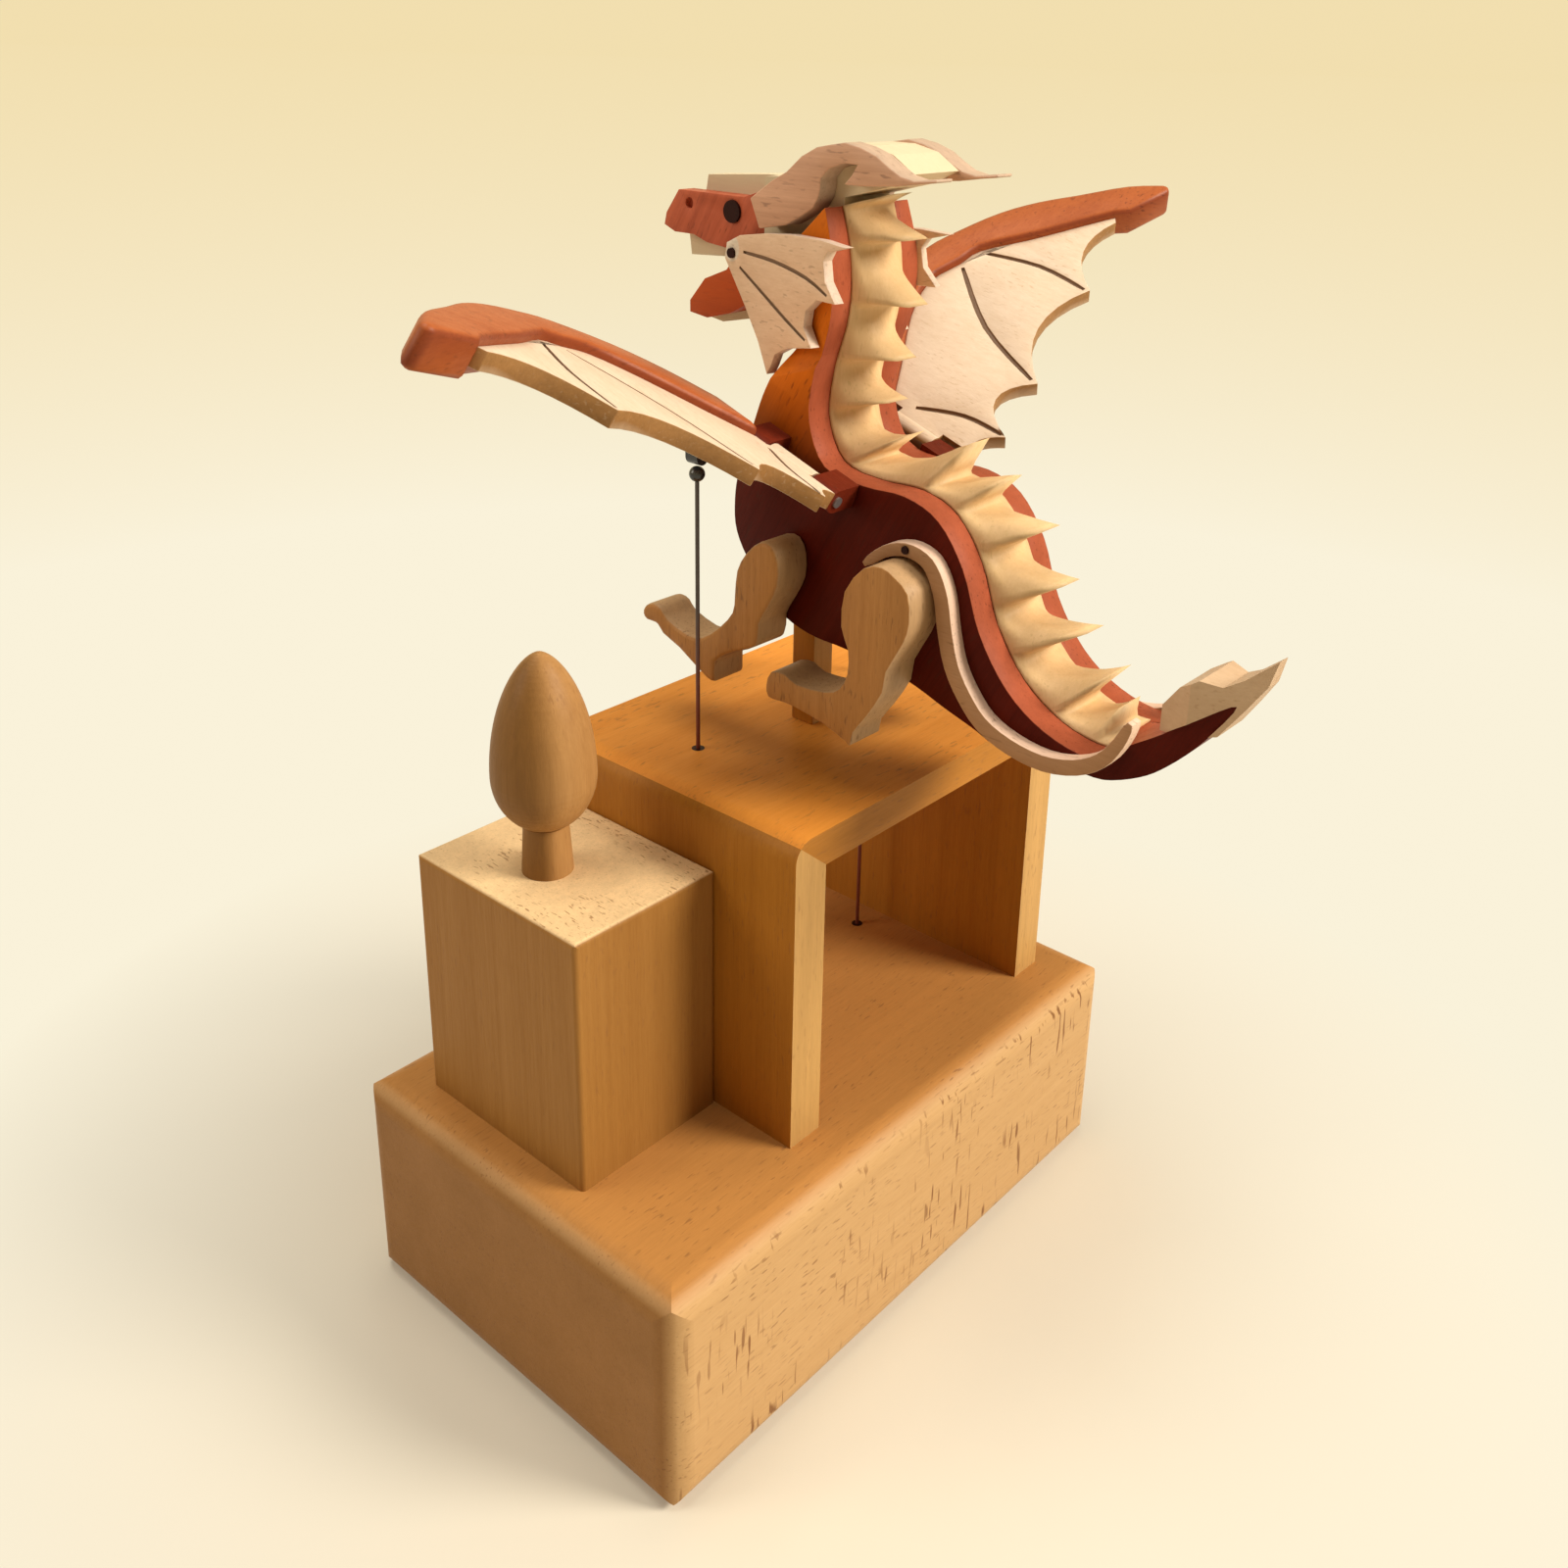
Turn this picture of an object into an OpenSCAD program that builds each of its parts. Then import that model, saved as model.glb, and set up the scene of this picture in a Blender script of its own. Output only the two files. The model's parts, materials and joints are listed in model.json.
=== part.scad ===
// Wooden music box with a flying dragon on a stage, standing on a block that hides the movement.
// Millimetres. Origin at the centre of the underside, X to the right, Y to the back, Z up.

/* [Base block] */
// Width of the base block, left to right
base_w = 117; // [112:1:130]
// Depth of the base block, front to back
base_d = 76; // [74:1:84]
// Height of the base block
base_h = 40; // [39:1:48]
// Radius of the base block's rounded edges
base_round = 4.5; // [2:0.5:5]
// Thickness of the base block's left and right walls
side_wall = 12; // [10:0.5:13]
// Thickness of the base block's front and back walls
end_wall = 10; // [9:0.5:10.5]
// Thickness of the roof over the movement
roof_t = 5; // [4:0.5:6]
// Thickness of the bottom plate
plate_t = 4; // [3:0.5:4.5]
// Width of the ledge that the bottom plate lies on
ledge_w = 5; // [4.5:0.5:5]
// Gap round the edge of the bottom plate
plate_fit = 0.2; // [0.1:0.1:0.4]

/* [Tower and tree] */
// Width of the tower block
tower_w = 29; // [26:1:32]
// Depth of the tower block
tower_d = 38.5; // [30:0.5:44]
// Height of the tower block
tower_h = 44.5; // [34:0.5:54]
// How far the tower's centre lies behind the base's centre
tower_back = 8.5; // [0:0.5:12]
// Radius of the tower's edges
tower_round = 0.8; // [0.4:0.1:3]
// How far the tree stands left of the tower's centre
tree_left = 3; // [0:0.5:5]
// How far the tree stands behind the tower's centre
tree_back = 0.6; // [0:0.1:5]
// Height of the tree's trunk
trunk_h = 8.3; // [4:0.1:10]
// Diameter of the trunk at the foot
trunk_foot_d = 8.2; // [7:0.1:9]
// Diameter of the trunk under the crown
trunk_top_d = 7.2; // [6:0.1:7.5]
// Diameter of the peg that joins the trunk to the crown
tree_peg_d = 3.5; // [2:0.5:4]
// Length of that peg
tree_peg_l = 6; // [4:0.5:10]
// Height of the tree's crown
crown_h = 28.8; // [24:0.1:38]
// Greatest diameter of the tree's crown
crown_d = 16.5; // [13:0.5:20]

/* [Stage] */
// Width of the stage
stage_w = 71.5; // [68:0.5:76]
// Depth of the stage
stage_d = 57; // [50:0.5:64]
// Height of the stage
stage_h = 55.5; // [50:0.5:62]
// Thickness of the stage's walls
stage_wall = 7; // [5:0.5:8]
// Thickness of the stage's top board
stage_top_t = 6; // [5:0.5:8]
// Radius of the stage's long top edges
stage_round = 3.5; // [1:0.5:4.5]
// How far the stage's centre lies right of the base's centre
stage_x = 13.6; // [12:0.2:15]
// How far the stage's centre lies behind the base's centre
stage_y = 0.7; // [0:0.1:2]
// Side of the square post that carries the dragon
post_w = 5; // [4:0.5:7]

/* [Dragon layers] */
// Width of the body's core
core_w = 12; // [10:0.5:18]
// Thickness of the side plates
side_t = 5; // [4:0.5:6]
// Thickness of the legs
leg_t = 7.5; // [5:0.5:8]
// Thickness of the haunch strips
haunch_t = 2.5; // [2:0.5:5]
// Half width of the haunch strips
haunch_half = 1.4; // [0.8:0.1:1.5]
// Width of the head's core
head_core_w = 4; // [3:0.5:5]
// Thickness of the cheeks and jaw plates
cheek_t = 3.5; // [3:0.5:4]
// Thickness of the horns
horn_t = 4; // [3:0.5:4.5]
// Radius of the eye plugs
eye_r = 1.8; // [1:0.1:2]
// How far the eye plugs go into the cheeks
eye_sink = 1; // [0.6:0.1:1.5]
// How far the eye plugs stand out
eye_out = 0.4; // [0.2:0.1:0.8]
// Radius of the nostrils
nostril_r = 0.9; // [0.5:0.1:1]
// Depth of the nostrils
nostril_deep = 1; // [0.5:0.1:1.5]
// Height of the tallest crest scale
crest_h = 9.5; // [7:0.5:10]
// Height of the crest's edge all round
crest_lip = 0.4; // [0.3:0.1:0.8]
// Thickness of the frills
frill_t = 1.8; // [1.4:0.1:2]
// Gap between the frills and the neck
frill_gap = 0.4; // [0.3:0.1:0.8]
// Angle at which the frills flare from the head
frill_flare = 10; // [9:1:13]
// Width of the grooves that mark the frill fingers
frill_groove_w = 0.6; // [0.4:0.1:0.9]
// Depth of those grooves
frill_groove_deep = 0.4; // [0.2:0.1:0.6]
// Radius of the frill dowels
frill_dowel_r = 0.8; // [0.6:0.1:1]
// How far the frill dowels go into the jaw plates
frill_dowel_in = 2.5; // [1.5:0.5:3]
// Radius of the haunch dowels
haunch_dowel_r = 0.6; // [0.4:0.1:0.8]
// How far the dowels stand out
dowel_out = 0.3; // [0.2:0.1:0.6]

/* [Wings] */
// Thickness of the wing bones
bone_t = 6; // [5:0.5:7]
// Thickness of the wing membranes
membrane_t = 2.8; // [2.4:0.2:4]
// Tilt of the hinge line, nose up
hinge_tilt = 19.5; // [16:0.5:23]
// How far the left wing is raised at rest
left_raise = 22.7; // [18:0.1:28]
// How far the right wing is raised at rest
right_raise = 28.3; // [22:0.1:32]
// Radius of the hinge barrels
barrel_r = 2; // [1.8:0.1:2.1]
// Radius of the hinge pins
hinge_pin_r = 0.9; // [0.7:0.1:1]
// Length of the wing's own hinge barrel
barrel_l = 9.4; // [7:0.2:10]
// Length of each fixed hinge lug
lug_l = 5; // [4:0.5:5.5]
// End gap between hinge barrels
barrel_gap = 0.3; // [0.2:0.1:0.5]
// Gap between a barrel and the plate that it stands off
barrel_stand = 2.5; // [0.2:0.25:4.25]
// Width of the grooves that mark the wing fingers
groove_w = 0.9; // [0.6:0.1:1.2]
// Depth of those grooves
groove_deep = 0.5; // [0.3:0.1:0.8]

/* [Push rods] */
// How far the push rods stand to each side of the stage's centre
rod_off = 22.5; // [22:0.1:24]
// How far the push rods stand behind the stage's centre
rod_back = 5.7; // [5:0.1:6.5]
// Diameter of the push rods
rod_d = 0.7; // [0.6:0.1:1.2]
// Running gap round a push rod
rod_run = 0.05; // [0.03:0.01:0.1]
// Outside diameter of the push rod bushes
bush_d = 2.2; // [2:0.1:3.4]
// Radius of the ball tips
ball_r = 1.3; // [1.1:0.1:1.5]
// How far a ball tip's centre lies under the hinge line
ball_drop = 3.5; // [3:0.1:4]
// Gap between a ball tip and the wing's lug
lug_gap = 0.3; // [0.3:0.1:0.5]
// Radius of the wing lug's round nose
lug_r = 1.3; // [1:0.1:1.9]
// Depth of the wing lug, front to back
lug_d = 2.6; // [2:0.2:5]

/* [Crank] */
// Diameter of the crank shaft
shaft_d = 4; // [3:0.5:4]
// Running gap round the shafts
shaft_run = 0.05; // [0.03:0.01:0.1]
// Outside diameter of the crank bush
crank_bush_d = 8; // [7:0.5:10]
// Diameter of the crank bush's flange
flange_d = 12; // [11:0.5:14]
// Thickness of that flange
flange_t = 1; // [0.6:0.2:1.4]
// Gap between the flange and the crank arm
arm_gap = 1; // [0.6:0.2:1.6]
// Thickness of the crank arm
arm_t = 3; // [2:0.5:4]
// Width of the crank arm
arm_w = 8; // [7:0.5:9]
// Distance from the shaft to the knob
crank_throw = 16; // [13:0.5:16]
// Diameter of the knob
knob_d = 9; // [8:0.5:9]
// Length of the knob
knob_l = 13; // [10:0.5:14]
// Radius of the pin that the knob turns on
knob_pin_r = 1.5; // [1:0.1:1.8]
// Thickness of the knob pin's head
knob_head_t = 1; // [0.8:0.2:1.6]
// Gap at each end of the knob
knob_gap = 0.4; // [0.3:0.1:0.6]

/* [Movement] */
// Radius of the lift cam
cam_r = 4.5; // [4.2:0.1:4.8]
// Half of the rods' stroke
lift = 1.6; // [1.2:0.05:1.75]
// Thickness of the lift cam
cam_t = 4.4; // [3:0.2:5]
// Thickness of the lift beam
beam_t = 2.4; // [2:0.2:3]
// Depth of the lift beam, front to back
beam_d = 6; // [4.5:0.5:7]
// How far the lift beam runs past the rods
beam_past = 2.5; // [2:0.5:4]
// Gap between the lift beam at its lowest and the cam at its highest
cam_gap = 0.3; // [0.3:0.1:0.6]
// Gap between the lift beam at its highest and the roof
beam_run = 0.55; // [0.4:0.05:0.8]
// Gear module
gear_m = 0.8; // [0.78:0.01:0.82]
// Number of teeth on the drive pinion
pinion_teeth = 12; // [12:1:13]
// Number of teeth on the cylinder's gear
gear_teeth = 24; // [23:1:25]
// Thickness of the gears
gear_t = 3; // [2:0.5:3]
// Play between the gear teeth
gear_play = 0.2; // [0.15:0.05:0.3]
// How far the cylinder's axis lies below the crank shaft
cylinder_drop = 5; // [4:0.5:5.5]
// Least gap between the cylinder's gear and the bedplate
gear_run = 0.3; // [0.2:0.1:0.6]
// Gap between the cylinder and its gear
cylinder_gap = 1; // [0.6:0.2:1.4]
// Radius of the music cylinder
cylinder_r = 6.5; // [6:0.1:6.8]
// Length of the music cylinder
cylinder_l = 21; // [20.5:0.5:21]
// Radius of the cylinder's pins
note_r = 0.3; // [0.2:0.05:0.35]
// Height of the cylinder's pins
note_h = 0.9; // [0.6:0.1:1]
// Number of pins on the cylinder
notes = 36; // [18:1:54]
// Diameter of the cylinder's arbor
arbor_d = 3; // [2.5:0.5:3.5]
// Thickness of the bearing brackets
bracket_t = 2.5; // [2:0.5:3]
// Half width of the bearing brackets
bracket_half = 3.8; // [3.4:0.1:4]
// End gap along the arbor
end_gap = 0.5; // [0.3:0.1:0.8]
// Thickness of the bedplate
bed_t = 2; // [1.5:0.5:3]
// Number of teeth on the comb
comb_teeth = 18; // [16:1:18]
// Distance from one comb tooth to the next
comb_pitch = 1.1; // [1:0.05:1.1]
// Width of a comb tooth
comb_tooth_w = 0.8; // [0.6:0.05:0.9]
// Length of the comb's teeth
comb_l = 13; // [10:0.5:15]
// Length of the comb's solid heel
heel_l = 9; // [8:0.5:10]
// Thickness of the comb
comb_t = 1.2; // [0.8:0.2:1.6]
// Gap between the comb and the cylinder's pins
comb_gap = 0.3; // [0.2:0.1:0.6]

/* [Screws] */
// Radius of the screws' shanks
screw_r = 1.1; // [0.9:0.1:1.3]
// Radius of the screws' heads
screw_head_r = 2; // [1.8:0.1:2.1]
// Thickness of the screws' heads
screw_head_t = 1.2; // [0.8:0.2:1.6]
// Length of the plate screws' shanks
screw_l = 10; // [7:0.5:12]
// Gap between a glued or screwed piece and its hole
glue_gap = 0.02; // [0.01:0.01:0.04]

/* [Hidden] */
$fn = 64;
cav_x = base_w / 2 - side_wall;
cav_y = base_d / 2 - end_wall;
cav_top = base_h - roof_t;
seat_x = cav_x + ledge_w;
seat_y = cav_y + ledge_w;
screw_x = cav_x + ledge_w / 2 - plate_fit;
screw_y = cav_y + ledge_w / 2 - plate_fit;
stage_left = stage_x - stage_w / 2;
tower_x = stage_left - tower_w / 2;
tower_top = base_h + tower_h;
tree_x = tower_x - tree_left;
tree_y = tower_back + tree_back;
trunk_top = tower_top + trunk_h;
stage_top_z = base_h + stage_h;
rod_y = stage_y + rod_back;
body_half = core_w / 2;
flank = body_half + side_t;
head_half = head_core_w / 2;
head_side = head_half + cheek_t;
hinge_x = flank + barrel_r + barrel_stand;
hinge_y = -4.3;
hinge_z = 51.7;
barrel_from = 0.7 - barrel_l;
barrel_to = 0.7;
ball_z = stage_top_z + hinge_z - ball_drop;
nose_z = ball_z + ball_r + lug_gap + lug_r;
beam_z = cav_top - beam_run - beam_t - lift;
shaft_z = beam_z - lift - cam_gap - cam_r - lift;
shaft_r = shaft_d / 2;
arbor_r = arbor_d / 2;
gear_span = gear_m * (pinion_teeth + gear_teeth) / 2;
gear_tip = gear_m * (gear_teeth / 2 + 0.65);
bed_z = plate_t + bed_t;
// The cylinder hangs under the shaft, with its gear clear of the bedplate in a shallow base
cylinder_z = max(shaft_z - cylinder_drop, bed_z + gear_run + gear_tip);
axis_drop = shaft_z - cylinder_z;
cylinder_x = stage_x - sqrt(gear_span * gear_span - axis_drop * axis_drop);
mesh_angle = atan2(cylinder_z - shaft_z, cylinder_x - stage_x);
// The movement stands in the middle of the base: bracket, gear, cylinder, bracket
movement_l = 2 * bracket_t + 2 * end_gap + gear_t + cylinder_gap + cylinder_l;
front_bracket_y = -movement_l / 2;
gear_y = front_bracket_y + bracket_t + end_gap;
cylinder_y = gear_y + gear_t + cylinder_gap;
rear_bracket_y = cylinder_y + cylinder_l + end_gap;
shaft_bracket_y = front_bracket_y;
comb_tip_x = cylinder_x - cylinder_r - note_h - comb_gap;
heel_x = comb_tip_x - comb_l - heel_l;
comb_w = comb_teeth * comb_pitch;
comb_y = cylinder_y + (cylinder_l - comb_w) / 2;
back_face = base_d / 2;
arm_y = back_face + flange_t + arm_gap;
knob_y = arm_y + arm_t + knob_gap;

// Side view of the dragon, (Y, Z) from the centre of the stage's top. The first 14 points follow the crest's scales.
body_points = [
  [-9, 90], [-11, 82.5], [-11, 74], [-8.5, 65.5], [-7.5, 57.5], [-11, 50.5], [-19, 49], [-27, 49],
  [-33.5, 46.5], [-38.5, 40], [-42, 31], [-47.5, 23.5], [-54.5, 19], [-62.5, 17.5], [-68.5, 20.5], [-74.5, 25],
  [-80, 28.5], [-76, 22], [-71.5, 17], [-67.5, 14], [-62, 12], [-56, 12], [-49, 12.5], [-43, 15],
  [-36.5, 17], [-28.5, 19.5], [-17, 21], [-8.5, 21.5], [-1.5, 24], [4.5, 30], [8, 35.5], [8.5, 41],
  [7.5, 46.5], [5, 53], [2.5, 59.5], [0, 64], [-3, 68], [-5.5, 73], [-3.5, 78.5], [-0.5, 83]
];
scales = 13;
scale_rows = 4;
crest_steps = 3;
crest_halves = 5;
// The crest's fins from the neck to the tail: row of the tip, height as a share, degrees up from straight back
fin_row = [0, 8, 21, 34, 46, 61, 83, 94, 105, 116, 126, 141, 152];
fin_share = [0.7, 0.86, 0.86, 0.88, 0.95, 0.88, 0.82, 0.78, 0.98, 1.08, 1.2, 1.04, 0.55];
fin_turn = [17, 1, -4, 1, 9, 32, 51, 38, 24, 24, 26, 44, 65];
// Height of the crest in the hollow between two fins, as a share
hollow_share = 0.1;
// Rows that a fin's tail side takes
fin_back = 2;
// Part of the crest's half width that a fin's sloping side takes
fin_side = 0.6;
plate_end = -66;
taper_start = -62.5;
taper_end = -80;
// The side plates are pared beside the frills above this height, with a slope below it
neck_pare_z = 67.5;
neck_slope = 62;
// The side plates end on this line under the tail, (Y, Z)
tail_line = [
  [-45, 16.5], [-50, 15], [-56, 14.5], [-61.5, 15.5], [-65, 18], [-68, 22], [-70, 29],
  [-98, 29], [-98, -11], [-45, -11]
];
cheek_points = [
  [7.5, 91], [12, 89.5], [27, 89.5], [30, 85.5], [30.5, 83.5], [28, 82.5], [23.5, 82.5],
  [20.5, 81.5], [15.5, 81], [14, 82.7], [7.5, 82.7]
];
eye_at = [14.5, 87];
nostril_at = [24.5, 87.5];
head_points = [
  [7.5, 93], [10, 93], [23.5, 92], [24, 89.5], [28.5, 85.5], [27.5, 78.5], [19.5, 79],
  [19, 81.5], [7.5, 82.5]
];
crown_points = [
  [7.5, 82.5], [7.5, 93], [2, 93.5], [-4, 97.5], [-9, 99], [-13.5, 99], [-18, 98],
  [-22, 95.5], [-18, 93.5], [-9, 91.2], [-9, 89], [-1, 82]
];
horn_points = [
  [7, 90], [2.5, 93], [-0.5, 94.5], [-3.5, 97], [-6.5, 98.5], [-9, 99], [-12, 99.5],
  [-15, 99], [-18, 98], [-20.5, 96.5], [-22.5, 95.5], [-25, 95], [-29, 95.5], [-29, 95],
  [-25, 94.5], [-22, 94], [-16, 93.5], [-12, 93.5], [-13.5, 95], [-14.5, 96.5], [-12, 96.5],
  [-9, 95.5], [-7.5, 94], [-7.5, 92.5], [-7, 91], [-6, 89.5], [-3.5, 88], [-0.5, 86.5], [5, 85.5]
];
jaw_points = [
  [13.5, 80.5], [16, 77.5], [21, 75.5], [24.5, 71.5], [24.5, 69.5], [20.5, 69], [15, 70.5],
  [11, 72.5], [6, 75], [6, 80.5], [8.5, 82.4], [13, 82.4]
];
jaw_core_points = [
  [24, 71], [23.5, 68.5], [20, 68], [13, 69.5], [3, 71.5], [-5, 73], [-4, 79],
  [5, 79], [11.5, 80.5], [15.5, 80.5], [16, 77.5], [21, 75]
];
// The frills lie in planes of their own: distance back along the plane and height.
frill_points = [
  [0.5, 84], [7, 85], [13.5, 85.5], [21, 85.5], [26.5, 85], [22.5, 84], [21.5, 82.5], [22, 79.5],
  [24.5, 76.5], [20, 76.5], [17.5, 74.5], [17, 72], [19, 69], [13, 68], [10, 66.5], [9, 64.5],
  [8, 63], [5.5, 68], [2, 73], [-3.5, 80], [-3, 82.5]
];
frill_fingers = [
  [[1.5, 81.5], [9.5, 81], [17.5, 79.5], [22.5, 77.5]],
  [[0.5, 79], [7, 75.5], [12.5, 72.5], [17.5, 70]]
];
frill_root = [9, 10];
frill_dowel_at = [-1.5, 81];
front_leg_points = [
  [-4, 38], [-6.5, 38], [-8, 35.5], [-8, 31.5], [-6, 27.5], [-4, 24], [-3.5, 20],
  [1.5, 17.5], [6, 14.5], [6, 10.5], [10, 12], [14.5, 14.5], [18.5, 16], [20, 17.5],
  [22.5, 17.5], [23.5, 18.5], [23, 20], [21, 21], [19, 20.5], [17.5, 19], [12.5, 17.5],
  [9, 18], [5, 21], [2, 24.5], [1.5, 27.5], [1, 32], [-1, 35.5]
];
hind_leg_points = [
  [-25.5, 39], [-22, 34.5], [-21.5, 28.5], [-23, 25], [-23, 21], [-21.5, 18], [-18.5, 16.5],
  [-12.5, 16], [-10, 17], [-7, 16.5], [-6, 14], [-6.5, 12], [-9, 12], [-12, 12],
  [-18.5, 11], [-23, 9.5], [-24, 9], [-24.5, 11.5], [-27, 15], [-30, 20], [-30.5, 23.5],
  [-33.5, 29], [-34.5, 32.5], [-34, 37], [-31.5, 39], [-29, 40]
];
haunch_line = [
  [-21.5, 37.5], [-25.5, 40.5], [-29.5, 41.7], [-33, 41], [-35, 39], [-36.5, 35.5], [-37.5, 30.5], [-39, 25.5],
  [-41.5, 21.5], [-45, 18], [-50, 16], [-56, 15.3], [-61.5, 16.5], [-65.5, 19], [-68, 22.5], [-69.5, 26]
];
spade_points = [
  [-69, 21.5], [-69, 25.5], [-72, 29.5], [-75, 31.5], [-78, 31], [-80.5, 32.5], [-84.5, 36],
  [-83.5, 32], [-81, 28], [-78, 23.5]
];
// Plan view of the spade: half width and Y
spade_plan = [[3, -68], [5.5, -74], [1, -85]];
// Wing outline: distance out from the hinge and distance forward along it
wing_root = 2.5;
wing_lead = [
  [wing_root, 13], [10, 19.5], [20, 23.5], [33.5, 24.5], [42, 23], [50.5, 20.5], [57.5, 17],
  [64, 12.5], [72, 7], [77, 1.5]
];
wing_tip = [[76, 0], [66.5, 2]];
wing_under = [
  [wing_root, 3], [10, 8], [20, 15], [28.5, 18.5], [36, 17.5], [41, 17], [49.5, 12],
  [58, 7.5], [64.5, 4]
];
// Trailing edge of the membrane: peaks, and between them the points that pull the scallops in
scallop_peaks = [[63.5, 3], [46, -5], [22, -13], [9, -17], [wing_root, -14.5]];
scallop_pulls = [[52, 6], [31, 0.5], [13.5, -5], [5.5, -12.5]];
fingers = [
  [[35.5, 16.5], [26.5, 3], [22, -11.5]],
  [[41, 16.5], [45, 6], [45.5, -4]],
  [[4, -1], [8, -8.5], [9, -16]]
];

beech = "burlywood";
padauk = "sienna";
maple = "navajowhite";
cream = "khaki";
rosy = "rosybrown";
dark = [0.15, 0.1, 0.08];
brass = "goldenrod";
steel = "slategray";

function curve(a, b, c, d, u) =
  0.5 * (2 * b + (c - a) * u + (2 * a - 5 * b + 4 * c - d) * u * u + (3 * b - a - 3 * c + d) * u * u * u);
function smooth_closed(p, n) =
  let (m = len(p))
  [for (i = [0 : m - 1]) for (k = [0 : n - 1])
    curve(p[(i + m - 1) % m], p[i], p[(i + 1) % m], p[(i + 2) % m], k / n)];
function smooth_open(p, n) =
  let (m = len(p))
  concat(
    [for (i = [0 : m - 2]) for (k = [0 : n - 1])
      curve(p[max(i - 1, 0)], p[i], p[i + 1], p[min(i + 2, m - 1)], k / n)],
    [p[m - 1]]);
function reversed(p) = [for (i = [len(p) - 1 : -1 : 0]) p[i]];
function pulled(a, c, b, u) = (1 - u) * (1 - u) * a + 2 * u * (1 - u) * c + u * u * b;
function side_of(p, i) =
  let (t = p[min(i + 1, len(p) - 1)] - p[max(i - 1, 0)])
  [t[1], -t[0]] / norm(t);
function band(p, half, tip) =
  let (m = len(p))
  let (w = [for (i = [0 : m - 1]) tip + (half - tip) * pow(sin(180 * i / (m - 1)), 0.4)])
  concat(
    [for (i = [0 : m - 1]) p[i] + side_of(p, i) * w[i]],
    [for (i = [m - 1 : -1 : 0]) p[i] - side_of(p, i) * w[i]]);
body_outline = smooth_open(body_points, scale_rows);

// A rectangle with rounded corners
module round_rect(w, d, r) {
  square([w - 2 * r, d], center = true);
  square([w, d - 2 * r], center = true);
  for (x = [-1, 1], y = [-1, 1])
    translate([x * (w / 2 - r), y * (d / 2 - r)])
      circle(r);
}

// A block standing on z = 0 with rounded edges. The lower edges are rounded when foot is 0 and square when it is 1.
module block(w, d, h, r, foot) {
  tall = h + 2 * r * foot;
  intersection() {
    linear_extrude(h)
      round_rect(w, d, r);
    translate([0, d / 2, h - tall / 2])
      rotate([90, 0, 0])
        linear_extrude(d)
          round_rect(w, tall, r);
    translate([-w / 2, 0, h - tall / 2])
      rotate([90, 0, 90])
        linear_extrude(w)
          round_rect(d, tall, r);
  }
}

// A cylinder along Y from y to y + l
module along_y(r, y, l) {
  translate([0, y + l, 0])
    rotate([90, 0, 0])
      cylinder(r = r, h = l);
}

// A cylinder along X from x to x + l
module along_x(r, x, l) {
  translate([x, 0, 0])
    rotate([0, 90, 0])
      cylinder(r = r, h = l);
}

// An (Y, Z) outline, t thick along X from x
module slab(x, t, points) {
  translate([x, 0, 0])
    rotate([90, 0, 90])
      linear_extrude(t)
        polygon(points);
}

// The body's outline right through, for the pieces that are scribed to it
module body_slab() {
  slab(-3 * flank, 6 * flank, body_outline);
}

module at_dragon() {
  translate([stage_x, stage_y, stage_top_z])
    children();
}

module left() {
  mirror([1, 0, 0])
    children();
}

// Base, tower and tree

module plate_screw_spots() {
  for (x = [-1, 1], y = [-1, 1])
    translate([x * screw_x, y * screw_y, 0])
      children();
}

module rod_spots() {
  for (x = [-1, 1])
    translate([stage_x + x * rod_off, rod_y, 0])
      children();
}

module base_block() {
  color(beech)
    difference() {
      block(base_w, base_d, base_h, base_round, 0);
      translate([-cav_x, -cav_y, -1])
        cube([2 * cav_x, 2 * cav_y, cav_top + 1]);
      translate([-seat_x, -seat_y, -1])
        cube([2 * seat_x, 2 * seat_y, plate_t + 1]);
      plate_screw_spots()
        cylinder(r = screw_r + glue_gap, h = plate_t + screw_l);
      rod_spots()
        cylinder(d = bush_d + 2 * glue_gap, h = base_h + 1);
      translate([stage_x, 0, shaft_z])
        along_y(crank_bush_d / 2 + glue_gap, 0, base_d);
    }
}

module bottom_plate() {
  color(beech)
    difference() {
      translate([-seat_x + plate_fit, -seat_y + plate_fit, 0])
        cube([2 * (seat_x - plate_fit), 2 * (seat_y - plate_fit), plate_t]);
      plate_screw_spots() {
        translate([0, 0, -1])
          cylinder(r = screw_r + glue_gap, h = plate_t + 2);
        translate([0, 0, -1])
          cylinder(r = screw_head_r + glue_gap, h = screw_head_t + 1.3);
      }
      movement_screw_spots()
        translate([0, 0, plate_t / 4])
          cylinder(r = screw_r + glue_gap, h = plate_t);
    }
}

module plate_screws() {
  color(brass)
    plate_screw_spots() {
      translate([0, 0, 0.3])
        cylinder(r = screw_head_r, h = screw_head_t);
      translate([0, 0, 0.3])
        cylinder(r = screw_r, h = screw_l);
    }
}

module tower_block() {
  color(beech)
    difference() {
      translate([tower_x, tower_back, base_h])
        block(tower_w, tower_d, tower_h, tower_round, 1);
      translate([tree_x, tree_y, tower_top - tree_peg_l])
        cylinder(d = tree_peg_d + 2 * glue_gap, h = tree_peg_l + 1);
    }
}

module tree_trunk() {
  color(beech)
    translate([tree_x, tree_y, tower_top]) {
      cylinder(d1 = trunk_foot_d, d2 = trunk_top_d, h = trunk_h);
      translate([0, 0, -tree_peg_l])
        cylinder(d = tree_peg_d, h = trunk_h + 2 * tree_peg_l);
    }
}

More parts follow.
